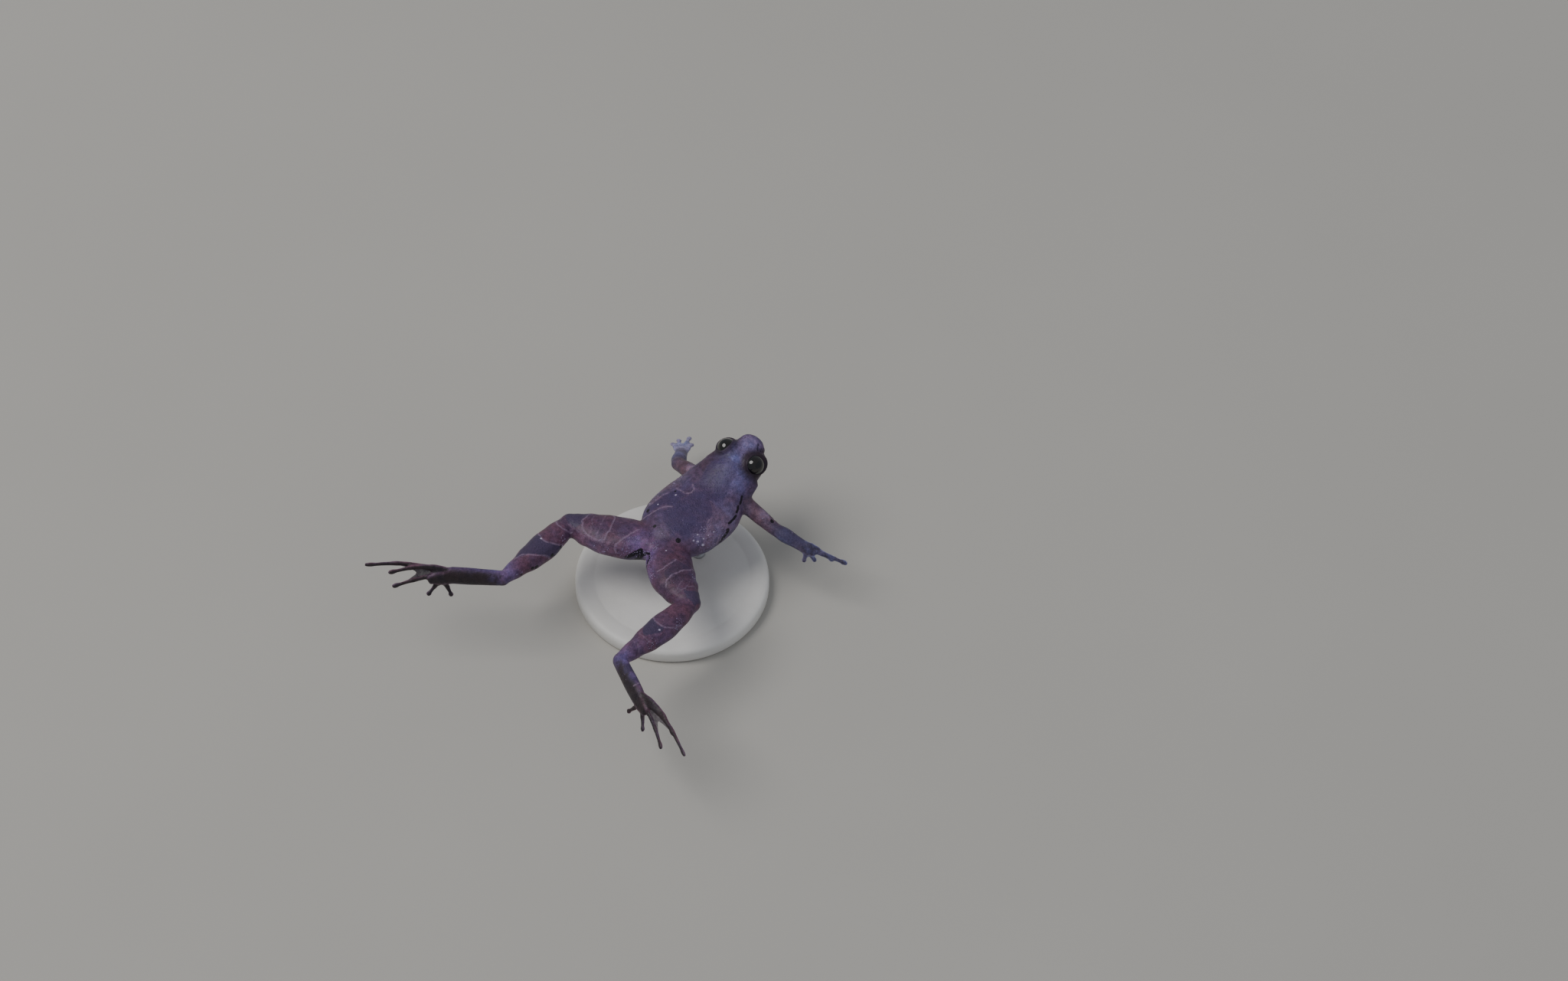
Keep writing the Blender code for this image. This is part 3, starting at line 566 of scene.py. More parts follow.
class Limb:
    """A path with a frame and an oval section at each row, and the form round it."""

    def __init__(self, name, rows, sides, up=UP, bluntness=LIMB_BLUNTNESS):
        self.name = name
        self.rows = np.array(rows, float)
        self.sides = sides
        self.bluntness = bluntness
        self.along, self.right, self.above = frames_along(self.rows, up)
        self.length = np.linalg.norm(np.diff(self.rows[:, :3], axis=0), axis=1).sum()

    def form(self):
        """Ring points: row + half width x cos(a) to the right + height x sin(a) above; ends are domes."""
        dome = np.radians(np.linspace(*END_ANGLES, END_RINGS))
        start = self.rows[0, 3:6].mean() * self.bluntness
        end = self.rows[-1, 3:6].mean() * self.bluntness
        count = len(self.rows)
        index = np.concatenate([np.zeros(END_RINGS, int), np.arange(count), np.full(END_RINGS, count - 1)])
        ahead = np.concatenate([-start * np.sin(dome), np.zeros(count), end * np.sin(dome[::-1])])
        shrink = np.concatenate([np.cos(dome), np.ones(count), np.cos(dome[::-1])])
        turn = turns(self.sides)
        wide = shrink[:, None] * self.rows[index, 3][:, None] * np.cos(turn)
        top = self.rows[index, 4][:, None]
        bottom = self.rows[index, 5][:, None]
        high = shrink[:, None] * np.where(np.sin(turn) > 0, top, bottom) * np.sin(turn)
        centre = self.rows[index, :3] + self.along[index] * ahead[:, None]
        points = (
            centre[:, None, :]
            + wide[:, :, None] * self.right[index][:, None, :]
            + high[:, :, None] * self.above[index][:, None, :]
        )
        return points.reshape(-1, 3), closed_rings(len(index), self.sides)

    def place(self, points):
        """For each point: its distance in section radii, fraction along, and turn round the path."""
        size = self.rows[:, 3:6].mean(axis=1)
        gaps = np.stack([apart(points, row[:3]) for row in self.rows], axis=1)
        nearest = np.argmin(gaps, axis=1)
        offset = points - self.rows[nearest, :3]
        ahead = (offset * self.along[nearest]).sum(axis=1)
        sideways = (offset * self.right[nearest]).sum(axis=1)
        upward = (offset * self.above[nearest]).sum(axis=1)
        step = self.length / (len(self.rows) - 1)
        beyond = np.clip(ahead / step, -BEYOND_ENDS, BEYOND_ENDS)
        fraction = (nearest + beyond) / (len(self.rows) - 1)
        turn = np.degrees(np.arctan2(upward, sideways))
        near = gaps[np.arange(len(points)), nearest] / size[nearest]
        return near, fraction, turn

    def surface(self, fraction, degrees):
        """The point of the form at a fraction of its length and an angle above its right side."""
        index = int(round(fraction * (len(self.rows) - 1)))
        angle = np.radians(degrees)
        half, top, bottom = self.rows[index, 3:6]
        height = top if np.sin(angle) > 0 else bottom
        return (
            self.rows[index, :3]
            + self.right[index] * half * np.cos(angle)
            + self.above[index] * height * np.sin(angle)
        )


def limb_along(name, path, sections, up=UP, bluntness=LIMB_BLUNTNESS):
    """A limb along a path, with as many rows and points round it as its kind has."""
    count, sides = next(grid for start, grid in LIMB_GRIDS.items() if name.startswith(start))
    return Limb(name, limb_rows(path, sections, count), sides, up, bluntness)


def closed_rings(count, sides):
    """Quads between each ring and the next, and one face over each end."""
    i = np.arange(count - 1)[:, None] * sides
    j = np.arange(sides)[None, :]
    after = (j + 1) % sides
    quads = np.stack([i + j, i + after, i + sides + after, i + sides + j], axis=-1).reshape(-1, 4)
    last = (count - 1) * sides
    ends = [list(range(sides))[::-1], [last + k for k in range(sides)]]
    return [list(quad) for quad in quads] + ends


def foot_normal(side):
    """The upper face of the foot, across the plane of its toes."""
    root = np.array(FOOT_ROOTS[side])
    first, fourth = np.array(TOE_TIPS[side][0]), np.array(TOE_TIPS[side][3])
    normal = unit(np.cross(fourth - root, first - root))
    return normal if normal[1] > 0 else -normal


def spread_at_root(tips, root, normal, axis, width):
    """Steps from the root to each digit's start, side by side from the first digit to the last."""
    across = unit(np.cross(normal, axis))
    if (tips[0] - root) @ across < 0:
        across = -across
    middle = (len(tips) - 1) / 2
    return across, [across * width * (middle - i) / middle for i in range(len(tips))]


def straight(start, end, bow=(0.0, 0.0, 0.0)):
    """A path of three places from start to end, its middle moved by the bow."""
    start, end = np.array(start), np.array(end)
    return start, (start + end) / 2 + bow, end


def ahead_of(root, toward, length):
    """A straight path of a given length from the root."""
    return root, root + toward * length / 2, root + toward * length


def toes(side):
    root = np.array(FOOT_ROOTS[side])
    tips = [np.array(tip) for tip in TOE_TIPS[side]]
    normal = foot_normal(side)
    axis = unit(tips[3] - root)
    across, spreads = spread_at_root(tips, root, normal, axis, FOOT_SPREAD)
    limbs = []
    for i, (tip, spread, bow) in enumerate(zip(tips, spreads, TOE_BOWS)):
        start = root + axis * TOE_START + spread
        bend = (normal * TOE_ARCH - across * bow) * np.linalg.norm(tip - root)
        end = tip - unit(tip - start) * DIGIT_CAP
        path = (root + spread / 2, start, start + (end - start) / 2 + bend, end)
        limbs.append(limb_along(f"toe_{i + 1}_{side}", path, TOE_SECTIONS, normal, DIGIT_BLUNTNESS))
    return limbs


def fingers(side):
    root = np.array(WRISTS[side])
    tips = [np.array(tip) for tip in FINGER_TIPS[side]]
    normal = unit(np.cross(tips[3] - root, tips[0] - root))
    toward = unit((tips[1] + tips[2]) / 2 - root)
    _, spreads = spread_at_root(tips, root, normal, toward, PALM_SPREAD)
    limbs = []
    for i, (tip, spread) in enumerate(zip(tips, spreads)):
        start = root + toward * FINGER_START + spread
        end = tip - unit(tip - start) * DIGIT_CAP
        path = (root + spread / 2, start, start + (end - start) / 2 + normal * FINGER_ARCH, end)
        limbs.append(limb_along(f"finger_{i + 1}_{side}", path, FINGER_SECTIONS, normal, DIGIT_BLUNTNESS))
    limbs.append(limb_along(f"palm_{side}", ahead_of(root, toward, PALM_LENGTH), PALM_SECTIONS, normal))
    return limbs


def make_limbs():
    """Every limb by name, from the trunk out to the digits."""
    trunk = smooth_rows(BODY_ROWS, BODY_RINGS)
    found = [Limb("body", trunk, BODY_SIDES, bluntness=SNOUT_BLUNTNESS)]
    for side in SIDES:
        normal = foot_normal(side)
        knee, heel, root, elbow = (joints[side] for joints in (KNEES, HEELS, FOOT_ROOTS, ELBOWS))
        toward = unit(np.array(TOE_TIPS[side][2]) - root)
        found += [
            limb_along(f"thigh_{side}", straight(HIPS[side], knee, THIGH_BOWS[side]), THIGH_SECTIONS),
            limb_along(f"shank_{side}", straight(knee, heel, SHANK_BOWS[side]), SHANK_SECTIONS),
            limb_along(f"tarsus_{side}", straight(heel, root), TARSUS_SECTIONS, normal),
            limb_along(f"sole_{side}", ahead_of(root, toward, SOLE_LENGTH), SOLE_SECTIONS, normal),
            *toes(side),
            limb_along(f"upper_arm_{side}", straight(SHOULDERS[side], elbow), ARM_SECTIONS),
            limb_along(f"forearm_{side}", straight(elbow, WRISTS[side]), FOREARM_SECTIONS),
            *fingers(side),
        ]
    return {limb.name: limb for limb in found}


def lid_bulges(limbs):
    """Balls stretched along the head, one round each eye: centre + axes x sizes x sphere."""
    body = limbs["body"]
    index = int(LID_ALONG * (BODY_RINGS - 1))
    axes = np.array([body.right[index], body.along[index], body.above[index]])
    polar = np.pi * (np.arange(LID_RINGS) + 0.5) / LID_RINGS
    bulge = (level_rings(np.sin(polar), np.cos(polar), LID_SIDES) * LID_SHAPE) @ axes
    return [(np.array(EYES[side]) + bulge, closed_rings(LID_RINGS, LID_SIDES)) for side in SIDES]


def joined(forms):
    """The points of all the forms in one list, and their faces numbered to match."""
    points = []
    faces = []
    shift = 0
    for form_points, form_faces in forms:
        points.append(form_points)
        faces += [[corner + shift for corner in face] for face in form_faces]
        shift += len(form_points)
    return np.concatenate(points), faces


def closed_mesh(name, points, faces):
    """A mesh of the given points and faces, with every face looking outward."""
    mesh = bpy.data.meshes.new(name)
    mesh.from_pydata(points, [], faces)
    outward = bmesh.new()
    outward.from_mesh(mesh)
    bmesh.ops.recalc_face_normals(outward, faces=outward.faces)
    outward.to_mesh(mesh)
    outward.free()
    return mesh


def fuse(forms, facet):
    """One closed surface round all the forms, as a mesh of small four-sided faces."""
    obj = bpy.data.objects.new("forms", closed_mesh("forms", *joined(forms)))
    bpy.context.scene.collection.objects.link(obj)
    remesh = obj.modifiers.new("fuse", "REMESH")
    remesh.mode = "VOXEL"
    remesh.voxel_size = facet
    bpy.context.view_layer.update()
    evaluated = obj.evaluated_get(bpy.context.evaluated_depsgraph_get())
    fused = bpy.data.meshes.new_from_object(evaluated)
    bpy.data.objects.remove(obj)
    return fused


def read(items, field, width, kind=float):
    """A field of every item of a mesh, as one row of numbers each."""
    values = np.empty(len(items) * width, kind)
    items.foreach_get(field, values)
    return values.reshape(-1, width)


def read_points(mesh):
    return read(mesh.vertices, "co", 3)


def read_edges(mesh):
    return read(mesh.edges, "vertices", 2, np.int32)


def read_normals(mesh):
    return read(mesh.vertex_normals, "vector", 3)


def write_points(mesh, points):
    mesh.vertices.foreach_set("co", np.ascontiguousarray(points).ravel())
    mesh.update()


def relax(points, edges, weights, rounds, keep_size=True):
    """Moves each point towards its neighbours' mean and, to keep the size, back by a little more."""
    ends = np.concatenate([edges, edges[:, ::-1]])
    count = np.bincount(ends[:, 0], minlength=len(points))[:, None]
    for _ in range(rounds):
        for step in (SMOOTHING_STEP, SMOOTHING_BACK) if keep_size else (SMOOTHING_STEP,):
            total = np.stack(
                [np.bincount(ends[:, 0], points[ends[:, 1], k], len(points)) for k in range(3)], axis=1
            )
            points = points + (total / count - points) * weights[:, None] * step
    return points


def distance_to(points, places):
    """The distance of each point to the nearest of the places, and that place's number."""
    best = np.full(len(points), 1e9)
    which = np.zeros(len(points), int)
    room = max(1, 4000000 // len(places))
    for start in range(0, len(points), room):
        part = points[start:start + room]
        square = ((part[:, None, :] - places[None, :, :]) ** 2).sum(axis=2)
        which[start:start + room] = square.argmin(axis=1)
        best[start:start + room] = np.sqrt(square.min(axis=1))
    return best, which


def curve_through(places):
    """Places at even steps on the smooth curve through the given ones."""
    places = np.array(places, float)
    length = np.linalg.norm(np.diff(places, axis=0), axis=1).sum()
    rows = np.concatenate([places, np.zeros((len(places), 4))], axis=1)
    return smooth_rows(rows, max(3, int(length / LINE_SPACING)))[:, :3]


def on_limb(limb, marks):
    """Places on a limb's form at pairs of fraction along and turn above the right side."""
    marks = np.array(marks, float)
    rows = np.concatenate([marks, np.zeros((len(marks), 5))], axis=1)
    rows[:, 1] /= DEGREES_PER_LENGTH
    marks = smooth_rows(rows, POINTS_PER_MARK * len(marks))[:, :2]
    marks[:, 1] *= DEGREES_PER_LENGTH
    return curve_through([limb.surface(min(max(t, 0.0), 1.0), turn) for t, turn in marks])


def trunk_fraction(body, y):
    """How far along the trunk a y lies: 0 at its rear end and 1 at the snout."""
    return np.interp(y, body.rows[:, 1], np.linspace(0.0, 1.0, len(body.rows)))


def trunk_row(body, x, y):
    """The fraction along the trunk at a y, the row there, and x in half widths from the row's middle."""
    fraction = trunk_fraction(body, y)
    row = body.rows[int(round(fraction * (len(body.rows) - 1)))]
    return fraction, row, np.clip((x - row[0]) / row[3], -1.0, 1.0)


def on_back(body, marks):
    """Places on the upper face of the trunk at pairs of x and y."""
    places = []
    for x, y in marks:
        fraction, _, across = trunk_row(body, x, y)
        places.append(body.surface(fraction, np.degrees(np.arccos(across))))
    return curve_through(places)


def smooth_loop(corners):
    """Places round a closed loop, on cubic pieces whose slope at a corner is half its neighbours' gap."""
    here = np.array(corners, float)[:, None, :]
    before, after = np.roll(here, 1, axis=0), np.roll(here, -1, axis=0)
    beyond = np.roll(here, -2, axis=0)
    t = (np.arange(LOOP_STEPS) / LOOP_STEPS)[None, :, None]
    pieces = (
        2 * here
        + (after - before) * t
        + (2 * before - 5 * here + 4 * after - beyond) * t**2
        + (3 * here - before - 3 * after + beyond) * t**3
    ) / 2
    return pieces.reshape(-1, 2)


def depth_in_loop(places, corners):
    """How deep each place of a plane lies inside a smooth closed loop: negative outside it."""
    ring = smooth_loop(corners)
    far, _ = distance_to(places, ring)
    inside = np.zeros(len(places), bool)
    for (x0, y0), (x1, y1) in zip(ring, np.roll(ring, -1, axis=0)):
        if y0 != y1:
            crosses = (y0 > places[:, 1]) != (y1 > places[:, 1])
            inside ^= crosses & (places[:, 0] < x0 + (places[:, 1] - y0) * (x1 - x0) / (y1 - y0))
    return np.where(inside, far, -far)


def depth_on_limb(limb, fraction, turn, corners):
    """How deep each point lies inside a loop of fraction along and turn, on the limb rolled out flat."""
    corners = np.array(corners, float)
    middle = corners[:, 1].mean()

    def rolled_out(along, degrees):
        girth = np.interp(along, np.linspace(0, 1, len(limb.rows)), limb.rows[:, 3:5].mean(axis=1))
        return np.stack([along * limb.length, np.radians(degrees) * girth], axis=1)

    loop = rolled_out(corners[:, 0], corners[:, 1] - middle)
    return depth_in_loop(rolled_out(fraction, (turn - middle + 180) % 360 - 180), loop)


def set_values(mesh, name, values):
    """A named value, or a colour of four numbers, for each point of the mesh."""
    kind, field = ("FLOAT", "value") if values.ndim == 1 else ("FLOAT_COLOR", "color")
    attribute = mesh.attributes.new(name, kind, "POINT")
    attribute.data.foreach_set(field, values.astype(np.float32).ravel())


def nearest_limbs(points, limbs):
    """For each limb, its share of every point (all shares add up to one), and the point's place on it."""
    shares = {}
    places = {}
    for name, limb in limbs.items():
        near, fraction, turn = limb.place(points)
        shares[name] = np.exp(-BLEND_STEEPNESS * np.minimum(near, FAR_FROM_LIMB) ** 2)
        places[name] = (fraction, turn)
    total = sum(shares.values()) + 1e-9
    return {name: share / total for name, share in shares.items()}, places


def carve_eye(points, side):
    """Moves the skin round an eye: inside the ball within the lids' opening, proud of it at the rim."""
    look = unit(EYE_LOOKS[side])
    level = unit(np.cross(np.cross(look, UP), look))
    ahead = np.cross(level, look) * (1 if side == "left" else -1)
    offset = points - np.array(EYES[side])
    radius = np.linalg.norm(offset, axis=1)
    polar = np.degrees(np.arccos(np.clip(offset @ look / radius, -1.0, 1.0)))
    heading = np.arctan2(offset @ level, offset @ ahead)
    wide, high = LID_REACH[side]
    limit = 1 / np.sqrt((np.cos(heading) / wide) ** 2 + (np.sin(heading) / high) ** 2)
    place = polar / limit
    near = radius < LID_FAR
    rim = EYE_RADIUS + LID_THICKNESS
    sunk = EYE_RADIUS - LID_SUNK
    inner = sunk + (rim - sunk) * smooth_step(place, LID_EDGE, 1.0)
    outer = rim + (np.maximum(radius, rim) - rim) * smooth_step(place, 1.0, 1.0 + LID_SPREAD)
    fold = LID_FOLD_DEPTH * hump(place - LID_FOLD, LID_FOLD_WIDTH)
    wanted = np.where(place < 1.0, inner, outer - fold)
    moved = np.array(EYES[side]) + offset * (wanted / radius)[:, None]
    return np.where((near & (place < 1.0 + LID_SPREAD))[:, None], moved, points), place


def mouth_curve(limbs, degrees):
    """Places along the closed mouth: back along one side, round the snout and along the other."""
    body = limbs["body"]
    start = trunk_fraction(body, MOUTH_CORNER)
    marks = np.linspace(start, 1.0, MOUTH_MARKS)
    right = [body.surface(t, degrees - MOUTH_CURL * hump(t - start, MOUTH_CURL_REACH)) for t in marks]
    left = [body.surface(t, 180 - degrees + MOUTH_CURL * hump(t - start, MOUTH_CURL_REACH)) for t in marks]
    size = body.rows[-1, 3:6].mean()
    snout = body.rows[-1, :3] + body.along[-1] * size * SNOUT_BLUNTNESS * MOUTH_TIP
    snout = snout + body.above[-1] * body.rows[-1, 5] * np.sin(np.radians(degrees))
    return curve_through(right + [snout] + left[::-1])


def soften_joints(points, edges):
    """Rounds the whole skin a little, and the joints more, with less of it round the digits."""
    soft = np.full(len(points), SOFT_EVERYWHERE)
    small = np.ones(len(points))
    for side in SIDES:
        for joints, reach in JOINT_SOFTENING:
            soft = np.maximum(soft, hump(apart(points, joints[side]), reach))
        for roots, reach in DIGIT_REACHES:
            fade = smooth_step(apart(points, roots[side]), reach * DIGIT_FADE, reach)
            small = np.minimum(small, DIGIT_SOFTENING + (1 - DIGIT_SOFTENING) * fade)
    points = relax(points, edges, small, FIRST_ROUNDS)
    return relax(points, edges, soft * small, JOINT_ROUNDS, False)


def split_head(mesh):
    """Cuts the skin's facets on the head in four, for the lids and the mouth."""
    fine = bmesh.new()
    fine.from_mesh(mesh)
    split = [edge for edge in fine.edges if min(v.co.y for v in edge.verts) > FINE_HEAD_START
             and min(v.co.z for v in edge.verts) > FINE_HEAD_FLOOR]
    bmesh.ops.subdivide_edges(fine, edges=split, cuts=1, use_grid_fill=True)
    fine.to_mesh(mesh)
    fine.free()


def named_limbs(limbs, name):
    """The limb of that name, or if no side is named the limbs of both sides."""
    return [limbs[name]] if name in limbs else [limbs[f"{name}_{side}"] for side in SIDES]


def shape_skin(mesh, limbs):
    """Softens the joints, then adds lids, nostrils, mouth, folds and bumps as moves of the skin."""
    write_points(mesh, soften_joints(read_points(mesh), read_edges(mesh)))
    split_head(mesh)
    points = read_points(mesh)
    head = smooth_step(points[:, 1], FINE_HEAD_START, FINE_HEAD_START + HEAD_FADE)
    points = relax(points, read_edges(mesh), head * HEAD_SOFTENING, HEAD_ROUNDS)

    lids = {}
    for side in SIDES:
        points, lids[side] = carve_eye(points, side)
    write_points(mesh, points)
    mouth, _ = distance_to(points, mouth_curve(limbs, MOUTH_ANGLE))
    lips = LIP_HEIGHT * hump(mouth - LIP_OFFSET, LIP_WIDTH) - MOUTH_DEPTH * hump(mouth, MOUTH_WIDTH)
    push = lips * smooth_step(points[:, 1], *MOUTH_FADE)
    for name, t, turn, height, reach in BUMPS:
        for limb in named_limbs(limbs, name):
            push += height * hump(apart(points, limb.surface(t, turn)), reach)
    for name, marks, height, reach in FOLDS:
        for limb in named_limbs(limbs, name):
            push += height * hump(distance_to(points, on_limb(limb, marks))[0], reach)
    write_points(mesh, points + read_normals(mesh) * push[:, None])
    return lids


def on_skin(points, places):
    """The points of the skin nearest to the places."""
    return points[distance_to(places, points)[1]]


def laid_on_skin(points, line):
    """A line moved onto the skin and smoothed: each point goes half way to its neighbours' middle."""
    laid = on_skin(points, line).copy()
    for _ in range(LINE_ROUNDS):
        laid[1:-1] = laid[1:-1] / 2 + (laid[:-2] + laid[2:]) / 4
    return laid


def to_lines(points, lines):
    """The distance of each point to the nearest of the lines, which are laid on the skin first."""
    return distance_to(points, np.concatenate([laid_on_skin(points, line) for line in lines]))[0]


def to_dots(points, limbs, on_limbs, free):
    """The distance of each point to the rim of the nearest dot, on a limb or at a place of its own."""
    dots = [(limbs[limb].surface(t, turn), size) for limb, t, turn, size in on_limbs] + list(free)
    places = on_skin(points, np.array([place for place, _ in dots]))
    return np.min([apart(points, place) - dot[1] for place, dot in zip(places, dots)], axis=0)


def mark_skin(mesh, limbs, lids):
    """Writes the values that the skin's colours follow: tone, dark patches, lines, spots and specks."""
    points = read_points(mesh)
    shares, places = nearest_limbs(points, limbs)
    tone = np.zeros((len(points), 3))
    under = np.zeros(len(points))
    for name, share in shares.items():
        upper, lower = next(tones for start, tones in LIMB_TONES.items() if name.startswith(start))
        # Faces turned down take the lower tone, which on the feet is painted shade
        down = smooth_step(-np.sin(np.radians(places[name][1])), *UNDERSIDE)
        shade = colour(upper) * (1 - down)[:, None] + colour(lower) * down[:, None]
        tone += share[:, None] * shade
        under += share * down
    for limb, t, turn, reach, name, strength in ACCENTS:
        part = (strength * hump(apart(points, limbs[limb].surface(t, turn)), reach))[:, None]
        tone = tone * (1 - part) + colour(name) * part
    for side in SIDES:
        fade = 1 - smooth_step(apart(points, EYES[side]), *SURROUND_FADE)
        part = (EYE_SURROUNDS[side] * fade)[:, None]
        tone = tone * (1 - part) + colour("lid") * part

    dark = np.full(len(points), FAR_OUTSIDE)
    strength = np.zeros(len(points))
    for limb, patch_strength, corners in DARK_PATCHES:
        own = shares[limb] + (shares[DARK_SPILLS[limb]] if limb in DARK_SPILLS else 0.0)
        depth = np.where(own > 0.5, depth_on_limb(limbs[limb], *places[limb], corners), FAR_OUTSIDE)
        strength = np.where(depth > dark, patch_strength, strength)
        dark = np.maximum(dark, depth)
    body = limbs["body"]
    depth = np.max([depth_in_loop(points[:, :2], loop) for loop in BACK_MARKS], axis=0)
    on_top = points[:, 2] > np.interp(points[:, 1], body.rows[:, 1], body.rows[:, 2])
    back = np.where(shares["body"] * on_top > 0.5, depth, FAR_OUTSIDE)

    lines = [on_limb(limbs[limb], marks) for limb, marks in PALE_LINES]
    pale = to_lines(points, lines + [on_back(body, marks) for marks in BACK_LINES])
    faint = to_lines(points, [on_limb(limbs[limb], marks) for limb, marks in FAINT_LINES])

    black = to_dots(points, limbs, LIMB_SPOTS, BLACK_SPOTS)
    for along, size in BLACK_STREAKS:
        black = np.minimum(black, to_lines(points, [curve_through(along)]) - size)
    white = to_dots(points, limbs, LIMB_DOTS, WHITE_DOTS)

    speck = np.full(len(points), SPECK_EVERYWHERE)
    for limb, t, turn, reach, density in SPECK_FIELDS:
        speck = np.maximum(speck, density * hump(apart(points, limbs[limb].surface(t, turn)), reach))
    rim = np.zeros(len(points))
    for side in SIDES:
        near = apart(points, EYES[side]) < LID_FAR
        rim = np.maximum(rim, np.where(near, hump(lids[side] - 1.0, RIM_WIDTH), 0.0))

    set_values(mesh, "tone", np.concatenate([tone, np.ones((len(tone), 1))], axis=1))
    masks = dict(dark=dark, strength=strength, back=back, pale=pale, faint=faint, black=black, white=white,
                 speck=speck, under=under, rim=rim)
    for name, values in masks.items():
        set_values(mesh, name, values)
    return speck


def colour(name):
    """A named colour, as linear red, green and blue."""
    shade = np.array(COLOURS[name], float) / 255
    return np.where(shade <= 0.04045, shade / 12.92, ((shade + 0.055) / 1.055) ** 2.4)


class Wiring:
    """Adds nodes to a tree and joins them: an input is a number, a colour or another node's socket."""

    def __init__(self, tree):
        self.tree = tree

    def feed(self, socket, value):
        if isinstance(value, bpy.types.NodeSocket):
            self.tree.links.new(value, socket)
        else:
            socket.default_value = value

    def node(self, kind, inputs=(), **settings):
        made = self.tree.nodes.new(kind)
        for name, value in settings.items():
            setattr(made, name, value)
        for name, value in dict(inputs).items():
            self.feed(made.inputs[name], value)
        return made

    def math(self, operation, first, second=0.0):
        return self.node("ShaderNodeMath", {0: first, 1: second}, operation=operation).outputs[0]

    def plus(self, first, second):
        return self.math("ADD", first, second)

    def times(self, first, second):
        return self.math("MULTIPLY", first, second)

    def step(self, value, low, high, to_low=0.0, to_high=1.0):
        """A smooth step of a value from to_low at low to to_high at high."""
        if low > high:
            low, high, to_low, to_high = high, low, to_high, to_low
        inputs = {"Value": value, "From Min": low, "From Max": high, "To Min": to_low, "To Max": to_high}
        made = self.node("ShaderNodeMapRange", inputs, interpolation_type="SMOOTHSTEP")
        return made.outputs["Result"]

    def mix(self, share, first, second, blend="MIX"):
        made = self.node("ShaderNodeMix", data_type="RGBA", blend_type=blend)
        for name, value in {"Factor_Float": share, "A_Color": first, "B_Color": second}.items():
            self.feed(next(s for s in made.inputs if s.identifier == name), value)
        return next(s for s in made.outputs if s.identifier == "Result_Color")

    def paint(self, below, mask, strength, name):
        """A named colour laid over what is below it, by a mask and a strength."""
        return self.mix(self.times(mask, strength), below, colour_value(name))

    def noise(self, where, scale, detail=3.0, roughness=0.55):
        inputs = {"Vector": where, "Scale": scale, "Detail": detail, "Roughness": roughness}
        return self.node("ShaderNodeTexNoise", inputs).outputs["Fac"]

    def cells(self, where, scale, feature="F1"):
        return self.node("ShaderNodeTexVoronoi", {"Vector": where, "Scale": scale}, feature=feature)

    def value(self, name):
        return self.node("ShaderNodeAttribute", attribute_name=name).outputs["Fac"]

    def millimetres(self):
        """The place in the object, in millimetres."""
        place = self.node("ShaderNodeTexCoord").outputs["Object"]
        scaled = self.node("ShaderNodeVectorMath", {0: place, "Scale": 1 / MM}, operation="SCALE")
        return scaled.outputs["Vector"]


def shared_effect(name, extra=()):
    """A new node group for a surface, its wiring and its output node."""
    group = bpy.data.node_groups.new(name, "ShaderNodeTree")
    for label, kind in SURFACE_OUTPUTS + extra:
        group.interface.new_socket(name=label, in_out="OUTPUT", socket_type=kind)
    return group, Wiring(group), group.nodes.new("NodeGroupOutput")


def give_out(wiring, output, **sockets):
    for name, socket in sockets.items():
        wiring.feed(output.inputs[name], socket)


def colour_value(name):
    return (*colour(name), 1.0)


def material_from(group, name, depth, **constants):
    """A material with constant values that takes its colour, roughness and bump from a shared effect."""
    material = bpy.data.materials.new(name)
    material.use_nodes = True
    shader = material.node_tree.nodes["Principled BSDF"]
    for label, value in constants.items():
        shader.inputs[label.replace("_", " ")].default_value = value
    w = Wiring(material.node_tree)
    effect = w.node("ShaderNodeGroup", node_tree=group)
    bump = w.node("ShaderNodeBump", {"Distance": depth * MM, "Height": effect.outputs["Height"]})
    w.feed(shader.inputs["Base Color"], effect.outputs["Colour"])
    w.feed(shader.inputs["Roughness"], effect.outputs["Roughness"])
    w.feed(shader.inputs["Normal"], bump.outputs["Normal"])
    if "Cover" in effect.outputs:
        w.feed(shader.inputs["Alpha"], effect.outputs["Cover"])
    return material


